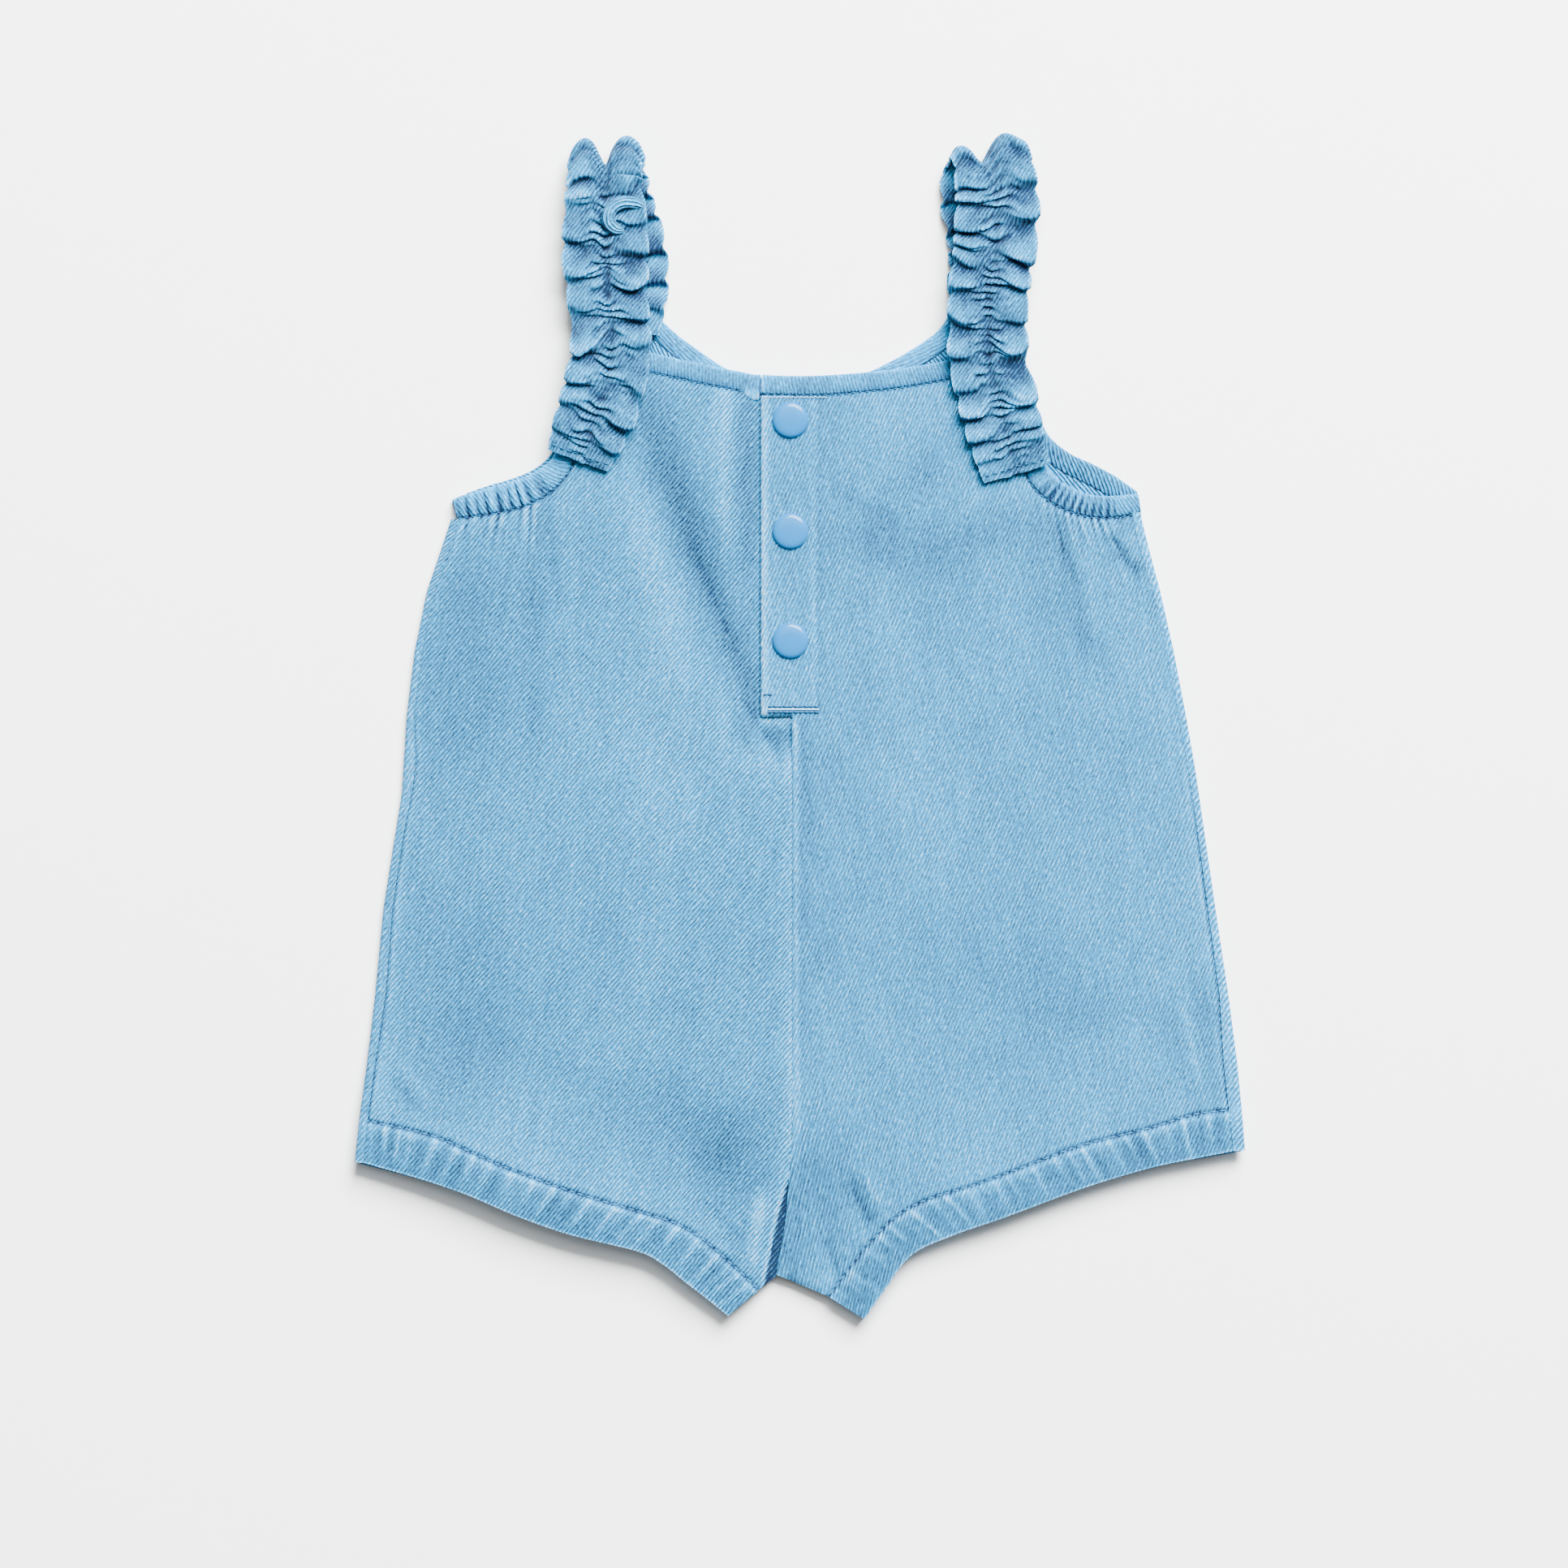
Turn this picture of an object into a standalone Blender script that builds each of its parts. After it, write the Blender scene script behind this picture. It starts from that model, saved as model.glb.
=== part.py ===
"""Denim romper for a baby, laid flat on its back: ruffled straps, gathered armholes, snap placket.

Lengths are in millimetres until a mesh is made. Seen from above, +X is to the right, +Y runs
up to the straps and +Z is up. The table is at Z = 0. Left and right are as seen from above.
"""

import math

import bmesh
import bpy
import numpy as np

MM = 0.001

# Layers
CLOTH = 1.2  # wall of the denim
HEM_CLOTH = 1.8  # hem, turned up on itself
BACK_TAPE = 1.6  # binding of the back, flat on the table
FRONT_TAPE = 2.4  # binding of the front, round over its elastic
STRAP_CLOTH = 1.6  # strap, two layers gathered
SEAM = 0.3  # space between pieces that are sewn to each other
BORDER = 0.8  # the same space beside a curved binding, whose facets differ from the panel's

# Front opening
CENTRE_X = -2.4  # centre front and centre back seams
PLACKET_EDGE_X = -13.2  # folded edge of the overlap
UNDERLAP_EDGE_X = 6.5  # edge of the layer under the snaps
PLACKET_FOOT_Y = 3.0  # where the overlap ends and the centre seam starts
UNDERLAP_LOW = 1.9  # height of the underlap's lower face
OVERLAP_LOW = UNDERLAP_LOW + CLOTH + SEAM
SNAP_RADIUS = 6.0
SNAP_HEIGHT = 1.7
SNAPS = (("snap_cap_top", 101.8), ("snap_cap_middle", 64.8), ("snap_cap_bottom", 28.4))
SNAP_X = -3.3
SNAP_SIDES = 24
# Section of a cap: share of its radius, share of its height
SNAP_PROFILE = ((0.0, 1.0), (0.42, 0.96), (0.72, 0.82), (0.9, 0.55), (1.0, 0.22), (0.97, 0.0))

# Centre seam down to the crotch: x, y
CENTRE_LINE = ((-2.4, 140.0), (-2.4, 0.0), (-2.4, -136.0), (-4.3, -163.0), (-7.6, -182.5))
CROTCH_Y = -182.5

# Sides: y, x of the left fold, left seam's inset, x of the right fold, right seam's inset
SIDES = (
    (74.0, -115.9, 2.9, 112.4, 2.9),
    (60.0, -119.2, 2.9, 115.9, 2.9),
    (45.0, -124.3, 2.6, 119.9, 2.6),
    (25.0, -128.4, 2.4, 124.4, 2.4),
    (4.0, -131.0, 2.5, 128.4, 2.4),
    (-12.0, -132.0, 4.0, 131.2, 2.4),
    (-22.0, -132.6, 3.4, 132.7, 2.4),
    (-35.0, -134.7, 2.8, 134.6, 2.4),
    (-60.0, -138.7, 3.0, 138.2, 2.6),
    (-90.0, -141.6, 3.5, 142.7, 3.1),
    (-112.0, -144.2, 2.8, 145.5, 4.6),
    (-128.0, -146.4, 2.9, 147.0, 4.4),
    (-145.0, -148.2, 2.9, 148.3, 3.8),
)

# Space between back and front along the sides: y, space. Away from the sides the front rises by
# FRONT_RISE more, and its folds never come nearer the back than LEAST_SPACE.
FRONT_RISE = 1.3
LEAST_SPACE = 0.4
SIDE_SPACE = ((74.0, 1.3), (40.0, 0.6), (-95.0, 0.6), (-125.0, 1.0), (-200.0, 1.0))

# Bindings, each along its middle: x, y
FRONT_NECK = (
    (-67.2, 125.2), (-50.2, 121.2), (-27.5, 116.3), (-13.4, 113.9), (2.7, 113.4),
    (18.0, 114.3), (33.2, 115.9), (49.7, 118.7), (67.4, 122.8),
)
BACK_NECK = (
    (-50.9, 137.5), (-48.6, 133.4), (-43.4, 128.4), (-38.4, 124.6), (-29.2, 118.2),
    (-22.6, 114.8), (-10.5, 111.6), (0.0, 110.8), (10.5, 111.6), (22.9, 114.8),
    (30.5, 118.2), (37.4, 122.0), (42.4, 125.2), (47.0, 128.6), (50.8, 133.0), (52.6, 137.5),
)
NECK_WIDTH = 6.3
# Section of a binding: place across its width, share of its height
TAPE_SECTION = (
    (-0.5, 0.3), (-0.5, 0.7), (-0.3, 1.0), (0.3, 1.0), (0.5, 0.7), (0.5, 0.3), (0.3, 0.0), (-0.3, 0.0),
)
UNDERARM_DROP = 0.8  # how far the turned-up edge of the back starts below the bindings

# Armholes from shoulder to underarm: x, y, width
FRONT_ARMHOLE_LEFT = (
    (-71.6, 124.0, 6.5), (-73.0, 112.0, 6.5), (-75.2, 100.0, 6.5), (-77.8, 91.0, 7.0),
    (-80.8, 85.6, 7.5), (-86.8, 80.6, 8.5), (-94.3, 77.3, 9.0), (-104.8, 74.7, 8.2), (-115.0, 72.4, 6.2),
)
FRONT_ARMHOLE_RIGHT = (
    (71.8, 121.6, 6.5), (72.8, 111.0, 6.5), (74.6, 99.0, 6.5), (76.6, 90.0, 7.0), (79.3, 83.8, 7.5),
    (83.8, 79.0, 7.5), (90.5, 75.3, 7.5), (97.5, 73.3, 7.2), (104.5, 73.0, 7.0), (111.8, 74.6, 6.0),
)
BACK_ARMHOLE_LEFT = (
    (-66.5, 137.5, 6.0), (-69.5, 125.0, 6.0), (-72.5, 112.0, 6.0), (-75.5, 100.0, 6.5), (-78.5, 91.5, 7.0),
    (-81.5, 86.6, 7.5), (-87.2, 81.6, 8.5), (-94.6, 78.2, 9.0), (-105.0, 75.5, 8.2), (-115.2, 72.4, 6.4),
)
BACK_ARMHOLE_RIGHT = (
    (68.8, 137.5, 6.0), (70.5, 126.0, 6.0), (73.0, 114.0, 6.0), (76.0, 103.5, 6.5), (80.5, 94.5, 6.5),
    (88.0, 88.2, 6.5), (95.5, 84.5, 6.8), (102.5, 80.8, 6.8), (108.5, 77.0, 6.5), (112.3, 74.3, 6.0),
)

# Legs, from the crotch outwards: x, y
INSEAM_LEFT = ((-7.6, -182.5), (-13.8, -187.4))
INSEAM_RIGHT = ((-7.6, -182.5), (9.3, -189.6))
STITCH_LEFT = (
    (-13.8, -187.4), (-23.0, -178.7), (-32.4, -170.6), (-41.6, -165.2), (-54.0, -161.2),
    (-76.7, -154.4), (-100.2, -145.8), (-122.3, -136.4), (-145.3, -131.2),
)
HEM_LEFT = (
    (-24.0, -196.0), (-31.0, -190.3), (-38.6, -184.4), (-45.5, -178.9), (-54.0, -174.4),
    (-76.7, -168.8), (-94.2, -162.8), (-111.8, -155.5), (-127.7, -150.4), (-148.2, -145.0),
)
STITCH_RIGHT = (
    (9.3, -189.6), (14.6, -182.3), (23.5, -171.2), (30.8, -163.9), (41.3, -157.7), (59.4, -152.0),
    (77.2, -145.5), (95.0, -139.1), (117.5, -133.7), (133.7, -129.1), (146.6, -127.7),
)
HEM_RIGHT = (
    (21.3, -197.1), (28.1, -187.4), (37.0, -175.8), (50.5, -169.3), (68.3, -163.1),
    (95.0, -153.4), (117.5, -146.9), (135.5, -143.4), (148.2, -141.2),
)

# Lift of the hems off the table: x, lift
HEM_LIFT = (
    (-148.0, 2.0), (-110.0, 3.6), (-60.0, 3.8), (-24.0, 1.2),
    (0.0, 1.0), (21.0, 1.0), (60.0, 2.6), (148.0, 1.4),
)
LIFT_LENGTH = 55.0  # how far above the hem the lift starts

# Soft folds of the front: start x, start y, end x, end y, half width, height (below 0 is a trough)
FOLDS_LEFT = (
    (-46.0, 84.0, -15.0, 8.0, 8.0, -1.3),
    (-54.0, 66.0, -30.0, 0.0, 11.0, 0.8),
    (-96.0, 62.0, -104.0, 20.0, 6.0, 0.7),
    (-22.0, -2.0, -6.0, -24.0, 5.0, -0.9),
    (-40.0, -20.0, -60.0, -120.0, 16.0, 0.6),
    (-100.0, -40.0, -112.0, -125.0, 12.0, -0.6),
    (-12.0, -160.0, -14.0, -182.0, 3.5, 1.1),
    (-24.0, -146.0, -26.0, -170.0, 6.0, -0.7),
)
FOLDS_RIGHT = (
    (47.0, 92.0, 22.0, 62.0, 8.0, -0.8),
    (96.0, 62.0, 88.0, 24.0, 6.0, 0.7),
    (28.0, 40.0, 40.0, -60.0, 14.0, 0.5),
    (128.0, -90.0, 133.0, -120.0, 4.0, 0.8),
    (17.0, -150.0, 24.0, -167.0, 3.5, -0.9),
    (70.0, -20.0, 84.0, -110.0, 14.0, -0.6),
)

# Armhole gathers: count, first and last fraction of the armhole's length
GATHERS_LEFT = (7, 0.65, 0.97)
GATHERS_RIGHT = (9, 0.64, 0.93)
GATHER_HEIGHT = 0.8
GATHER_LENGTH = 22.0

# Rows of the panels' grids, as shares of the chest, the body and the hem
FRONT_CHEST_ROWS = (0.0, 0.025, 0.06, 0.11, 0.18, 0.27, 0.38, 0.5, 0.64, 0.8, 1.0)
FRONT_BODY_ROWS = 11
BACK_CHEST_ROWS = (0.0, 0.12, 0.3, 0.5, 0.75, 1.0)
BACK_BODY_ROWS = 8
HEM_ROWS = (0.0, 0.12, 1.0)
SIDE_TURN = (45.0, 90.0, 135.0, 180.0)  # facets of the back's edge as it turns up, in degrees

# Straps: x, y, z of the middle, half width. The first rows run from the front end up to the fold
# over the shoulder, the last rows from the fold down to the end on the back.
STRAP_LEFT_FRONT = (
    (-73.9, 88.4, 6.2, 10.7), (-70.9, 96.5, 7.2, 12.0), (-67.8, 104.0, 7.7, 13.0),
    (-64.8, 114.2, 8.0, 13.2), (-62.8, 124.0, 8.3, 13.2), (-63.5, 133.7, 8.4, 13.3),
    (-64.3, 147.2, 8.4, 13.4), (-64.8, 160.7, 8.4, 14.2), (-64.9, 174.2, 8.4, 13.2),
    (-65.1, 184.0, 8.4, 12.0),
)
STRAP_LEFT_BACK = (
    (-64.4, 184.0, 2.6, 12.4), (-62.6, 176.0, 2.6, 12.8), (-61.0, 169.0, 2.6, 13.2),
    (-58.4, 160.0, 2.6, 13.4), (-57.2, 148.0, 2.9, 13.2), (-57.2, 138.5, 3.7, 12.2),
    (-57.5, 130.5, 3.6, 10.5),
)
STRAP_RIGHT_FRONT = (
    (71.9, 84.0, 6.2, 11.3), (69.4, 92.5, 7.1, 12.0), (67.6, 100.0, 7.6, 12.6),
    (65.4, 109.0, 7.9, 12.9), (62.8, 120.2, 8.2, 13.1), (62.1, 133.7, 8.4, 13.2),
    (62.9, 147.2, 8.4, 13.2), (64.8, 160.7, 8.4, 13.6), (65.5, 174.2, 8.4, 13.8),
    (64.5, 184.0, 8.4, 13.2),
)
STRAP_RIGHT_BACK = (
    (61.2, 184.0, 2.6, 13.0), (59.9, 178.0, 2.5, 13.2), (60.8, 170.0, 2.5, 13.2),
    (62.8, 160.0, 2.5, 13.2), (62.2, 148.0, 2.9, 13.0), (61.2, 138.5, 3.7, 12.0),
    (60.9, 130.5, 3.6, 10.5),
)
RUFFLE_PITCH = 9.4
RUFFLE_HEIGHT = 1.75  # wave of the strap's edges, each way
RUFFLE_SCALLOP = 1.2  # wave of the strap's outline, each way
RUFFLE_CALM = 16.0  # length at each sewn end where the waves die out
CREST = 8.3  # how far the ruffle's edges stand past the middle at the shoulder fold
STRAP_ACROSS = (-1.0, -0.5, 0.0, 0.5, 1.0)

DENIM = (0.28, 0.50, 0.70)
DENIM_DEEP = (0.20, 0.40, 0.62)
SNAP_PAINT = (0.20, 0.46, 0.68)


def curve(rows, fractions):
    """Catmull-Rom curve through the rows, read at fractions of its length."""
    rows = np.asarray(rows, float)
    ends = np.vstack([2 * rows[0] - rows[1], rows, 2 * rows[-1] - rows[-2]])
    t = np.linspace(0, 1, 16, endpoint=False)[:, None]
    spans = []
    for a, b, c, d in zip(ends, ends[1:], ends[2:], ends[3:]):
        cubic = 2 * b + (c - a) * t + (2 * a - 5 * b + 4 * c - d) * t**2 + (3 * b - a - 3 * c + d) * t**3
        spans.append(cubic / 2)
    dense = np.vstack(spans + [rows[-1:]])
    steps = np.linalg.norm(np.diff(dense[:, :2], axis=0), axis=1)
    length = np.concatenate([[0], np.cumsum(steps)])
    return np.stack([np.interp(fractions, length / length[-1], column) for column in dense.T], axis=1)


def sideways(line, distance):
    """The line moved by a distance to the left of its own direction."""
    along = np.gradient(line[:, :2], axis=0)
    along /= np.linalg.norm(along, axis=1)[:, None]
    return line[:, :2] + np.stack([-along[:, 1], along[:, 0]], axis=1) * np.reshape(distance, (-1, 1))


def read(table, at, column=1):
    """A table's column read at values of its first column, which may rise or fall."""
    rows = np.asarray(table, float)
    rows = rows[np.argsort(rows[:, 0])]
    return np.interp(at, rows[:, 0], rows[:, column])


def step_up(value, low, high):
    """0 below low, 1 above high and smooth between; low may be above high."""
    t = np.clip((value - low) / (high - low), 0, 1)
    return t * t * (3 - 2 * t)


def centre_x(y):
    """Where the centre seam runs at a height on the body."""
    return read([(y, x) for x, y in CENTRE_LINE], y)


def patch(top, bottom, inner, outer, across, down):
    """Points of a four-sided patch that meets its four border lines."""
    u = across[None, :, None]
    v = down[:, None, None]
    rails = (1 - v) * top[None] + v * bottom[None]
    inner_pull = inner[:, None] - (1 - v) * inner[0] - v * inner[-1]
    outer_pull = outer[:, None] - (1 - v) * outer[0] - v * outer[-1]
    return rails + (1 - u) * inner_pull + u * outer_pull


def add_object(name, points, faces, colour, roughness=0.85, sharp=35.0):
    """One closed mesh, in metres, with its own material."""
    mesh = bpy.data.meshes.new(name)
    used = sorted({corner for face in faces for corner in face})
    order = {old: new for new, old in enumerate(used)}
    corners = [tuple(float(value) * MM for value in points[old]) for old in used]
    mesh.from_pydata(corners, [], [[order[corner] for corner in face] for face in faces])
    work = bmesh.new()
    work.from_mesh(mesh)
    bmesh.ops.recalc_face_normals(work, faces=work.faces)
    bmesh.ops.triangulate(work, faces=work.faces)
    work.to_mesh(mesh)
    work.free()
    mesh.shade_smooth()
    mesh.set_sharp_from_angle(angle=math.radians(sharp))
    material = bpy.data.materials.new(name + "_finish")
    material.use_nodes = True
    shader = material.node_tree.nodes["Principled BSDF"]
    shader.inputs["Base Color"].default_value = (*colour, 1.0)
    shader.inputs["Roughness"].default_value = roughness
    shader.inputs["Metallic"].default_value = 0.0
    mesh.materials.append(material)
    piece = bpy.data.objects.new(name, mesh)
    bpy.context.collection.objects.link(piece)
    return piece


def closed_wall(name, outer, inner, kept, colour):
    """Two matching grids of points joined into one wall; only the kept cells are cloth."""
    rows, columns = kept.shape
    index = np.arange((rows + 1) * (columns + 1)).reshape(rows + 1, columns + 1)
    under = index.size
    faces = []
    edges = set()
    for row, column in zip(*np.nonzero(kept)):
        near = index[row, column : column + 2]
        far = index[row + 1, column : column + 2]
        cell = [int(near[0]), int(near[1]), int(far[1]), int(far[0])]
        faces.append(cell)
        faces.append([corner + under for corner in reversed(cell)])
        edges.update(zip(cell, cell[1:] + cell[:1]))
    for start, end in sorted(edges):
        if (end, start) not in edges:
            faces.append([end, start, start + under, end + under])
    points = np.vstack([outer.reshape(-1, 3), inner.reshape(-1, 3)])
    return add_object(name, points, faces, colour)


def hem_lift(x, drop):
    """Lift of the cloth near a leg opening; drop is the distance above the hem's edge."""
    return read(HEM_LIFT, x) * step_up(drop, LIFT_LENGTH, 4.0)


def fold_height(x, y, folds):
    """Sum of soft ridges and troughs, each bell-shaped across and fading at its ends."""
    height = np.zeros_like(x)
    for x0, y0, x1, y1, half_width, rise in folds:
        run = math.hypot(x1 - x0, y1 - y0)
        along = ((x - x0) * (x1 - x0) + (y - y0) * (y1 - y0)) / run
        across = ((x - x0) * (y1 - y0) - (y - y0) * (x1 - x0)) / run
        fade = step_up(along, -0.25 * run, 0.25 * run) * step_up(along, 1.25 * run, 0.75 * run)
        height += rise * fade * np.exp(-((across / half_width) ** 2))
    return height


def side_points(side, rows_y, on_seam):
    """Points down one side, on the garment's fold or on the seam just inside it."""
    column = 1 if side < 0 else 3
    x = read(SIDES, rows_y, column)
    if on_seam:
        x = x - side * (read(SIDES, rows_y, column + 1) + SEAM)
    return np.stack([x, rows_y], axis=1)


def leg_lines(side, columns, inseam_columns, seam_end):
    """Stitch line and hem edge of a leg from the crotch outwards, ending at the side's point."""
    inseam, stitch, hem = INSEAM_LEFT, STITCH_LEFT, HEM_LEFT
    if side > 0:
        inseam, stitch, hem = INSEAM_RIGHT, STITCH_RIGHT, HEM_RIGHT
    fractions = np.linspace(0, 1, columns - inseam_columns + 1)
    stitch_line = curve(stitch, fractions)
    hem_line = curve(hem, fractions)
    for line in (stitch_line, hem_line):
        fit = fractions[:, None] ** 4
        end = seam_end(line[-1, 1])
        line += fit * (end - line[-1])
    shares = np.linspace(0, 1, inseam_columns + 1)[:-1, None]
    start = np.asarray(inseam[0]) * (1 - shares) + np.asarray(inseam[1]) * shares
    upper = np.vstack([start, stitch_line])
    lower = np.vstack([np.repeat(hem_line[:1], inseam_columns, axis=0), hem_line])
    return upper, lower


def stacked_panel(side, top, inseam_columns, on_seam, chest_shares, body_count):
    """Grid of plan points of a panel: chest, body and hem stacked, with the rows that are hem."""
    columns = len(top) - 1
    top_rows = np.array(chest_shares)
    body_rows = np.linspace(0, 1, body_count)

    def seam_end(y):
        return side_points(side, np.array([y]), on_seam)[0]

    upper, lower = leg_lines(side, columns, inseam_columns, seam_end)
    reach = np.abs(top[:, 0] - top[0, 0]) / abs(top[-1, 0] - top[0, 0])
    across = 0.5 * reach + 0.5 * np.linspace(0, 1, columns + 1)
    middle_y = PLACKET_FOOT_Y
    middle_side = seam_end(middle_y)
    middle_x = CENTRE_X + across * (middle_side[0] - CENTRE_X)
    middle = np.stack([middle_x, np.full(columns + 1, middle_y)], axis=1)
    chest_y = top[0, 1] + (middle_y - top[0, 1]) * top_rows
    chest_side = top[-1, 1] + (middle_y - top[-1, 1]) * top_rows
    chest = patch(
        top, middle,
        np.stack([np.full_like(chest_y, CENTRE_X), chest_y], axis=1),
        side_points(side, chest_side, on_seam), across, top_rows,
    )
    body_y = middle_y + (CROTCH_Y - middle_y) * body_rows
    body_side = middle_y + (upper[-1, 1] - middle_y) * body_rows
    body = patch(
        middle, upper,
        np.stack([centre_x(body_y), body_y], axis=1),
        side_points(side, body_side, on_seam), across, body_rows,
    )
    v = np.array(HEM_ROWS)[:, None, None]
    hem = (1 - v) * upper[None] + v * lower[None]
    plan = np.concatenate([chest, body[1:], hem[1:]])
    hem_start = len(chest) + len(body) - 2
    return plan, hem_start, lower


def panel_heights(plan, hem_start, lower):
    """Wall thickness and lift over the table of a panel's points."""
    thickness = np.full(plan.shape[:2], CLOTH)
    thickness[hem_start + 1 :] = HEM_CLOTH
    drop = np.linalg.norm(plan - lower[None], axis=2)
    return thickness, hem_lift(plan[..., 0], drop)


def kept_cells(plan, hem_start, inseam_columns):
    """All cells but the corner of the hem rows that lies past the inseam."""
    kept = np.ones((plan.shape[0] - 1, plan.shape[1] - 1), bool)
    kept[hem_start:, :inseam_columns] = False
    return kept


def gather_stations(gathers):
    """Stations along an armhole as fractions of it, two to a gather, and +1 or -1 at each gather."""
    count, first, last = gathers
    pleats = np.linspace(first, last, 2 * count + 1)
    plain = np.linspace(0, first, 7)[:-1]
    wave = np.zeros(len(plain) + len(pleats) + 2)
    wave[len(plain) : -2] = (-1.0) ** np.arange(len(pleats))
    return np.concatenate([plain, pleats, [(last + 1) / 2, 1.0]]), wave


def front_top(side):
    """Top border of a front panel from the centre to the underarm, and its gathers' sign."""
    armhole = FRONT_ARMHOLE_LEFT if side < 0 else FRONT_ARMHOLE_RIGHT
    gathers = GATHERS_LEFT if side < 0 else GATHERS_RIGHT
    corner_x = FRONT_NECK[0][0] if side < 0 else FRONT_NECK[-1][0]
    neck = curve(FRONT_NECK, np.linspace(0, 1, 80))
    neck_x = np.linspace(CENTRE_X, corner_x, 9)
    neck_y = read(neck, neck_x) - NECK_WIDTH / 2 - BORDER
    fractions, wave = gather_stations(gathers)
    line = curve(armhole, fractions[1:])
    border = sideways(line, -side * (line[:, 2] / 2 + BORDER))
    border[-1, 1] -= UNDERARM_DROP / 2
    border[-1] = side_points(side, border[-1:, 1], True)[0]
    ripple = np.concatenate([np.zeros(len(neck_x)), wave[1:]])
    return np.vstack([np.stack([neck_x, neck_y], axis=1), border]), ripple


def front_low(side, plan, lift, ripple, thickness):
    """Height of a front panel's lower face: spaced over the back, raised, folded and gathered."""
    x = plan[..., 0]
    y = plan[..., 1]
    side_x = side_points(side, y.ravel(), True)[:, 0].reshape(y.shape)
    reach = np.clip((x - centre_x(y)) / (side_x - centre_x(y)), 0, 1)
    back_top = lift + np.where(thickness > CLOTH, HEM_CLOTH, CLOTH)
    rise = FRONT_RISE * (1 - reach**2) * step_up(y, CROTCH_Y - 10.0, -110.0)
    low = back_top + read(SIDE_SPACE, y) + rise
    folds = FOLDS_LEFT if side < 0 else FOLDS_RIGHT
    low += fold_height(x, y, folds) * (1 - reach**6)
    fall = np.maximum(plan[:1, :, 1] - y, 0)
    low += GATHER_HEIGHT * ripple[None, :] * np.exp(-((fall / GATHER_LENGTH) ** 2))
    low = np.maximum(low, back_top + LEAST_SPACE)
    if side < 0:
        under = step_up(x, -27.0, -14.5) * step_up(y, -14.0, PLACKET_FOOT_Y - 1.0)
        return low + under * (UNDERLAP_LOW - low)
    over = step_up(x, 24.0, UNDERLAP_EDGE_X + 1.5) * step_up(y, -14.0, PLACKET_FOOT_Y - 1.0)
    return low + over * (OVERLAP_LOW - low)


def front_panel(name, side):
    """A front half with its turned-up hem and its layer of the snap placket."""
    top, ripple = front_top(side)
    inseam_columns = 2
    plan, hem_start, lower = stacked_panel(side, top, inseam_columns, True, FRONT_CHEST_ROWS, FRONT_BODY_ROWS)
    thickness, lift = panel_heights(plan, hem_start, lower)
    low = front_low(side, plan, lift, ripple, thickness)
    kept = kept_cells(plan, hem_start, inseam_columns)
    plan[..., 0] += side * SEAM / 2 * (np.arange(plan.shape[1]) == 0)
    edge_x = UNDERLAP_EDGE_X if side < 0 else PLACKET_EDGE_X
    shares = np.array([0.0, 0.5])[None, :]
    layer = np.zeros((plan.shape[0], 2, 2))
    layer[..., 0] = edge_x + (plan[:, :1, 0] - edge_x) * shares
    layer[..., 1] = plan[:, :1, 1]
    layer_kept = np.zeros((kept.shape[0], 2), bool)
    layer_kept[: len(FRONT_CHEST_ROWS) - 1] = True
    layer_low = np.full((plan.shape[0], 2), UNDERLAP_LOW if side < 0 else OVERLAP_LOW)
    plan = np.concatenate([layer, plan], axis=1)
    low = np.concatenate([layer_low, low], axis=1)
    thickness = np.concatenate([thickness[:, :2], thickness], axis=1)
    kept = np.concatenate([layer_kept, kept], axis=1)
    inner = np.dstack([plan, low])
    outer = np.dstack([plan, low + thickness])
    return closed_wall(name, outer, inner, kept, DENIM)


def back_top(side):
    """Top border of a back panel: neck, shoulder tab and armhole."""
    armhole = BACK_ARMHOLE_LEFT if side < 0 else BACK_ARMHOLE_RIGHT
    middle = 0.5
    end = 0.0 if side < 0 else 1.0
    neck = curve(BACK_NECK, np.linspace(middle, end, 9))
    border = sideways(neck, -side * (NECK_WIDTH / 2 + BORDER))
    border[0, 0] = CENTRE_X
    line = curve(armhole, np.linspace(0, 1, 12))
    arm = sideways(line, -side * (line[:, 2] / 2 + BORDER))
    arm[-1, 1] -= UNDERARM_DROP
    arm[-1] = side_points(side, arm[-1:, 1], False)[0]
    return np.vstack([border, arm])


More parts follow.
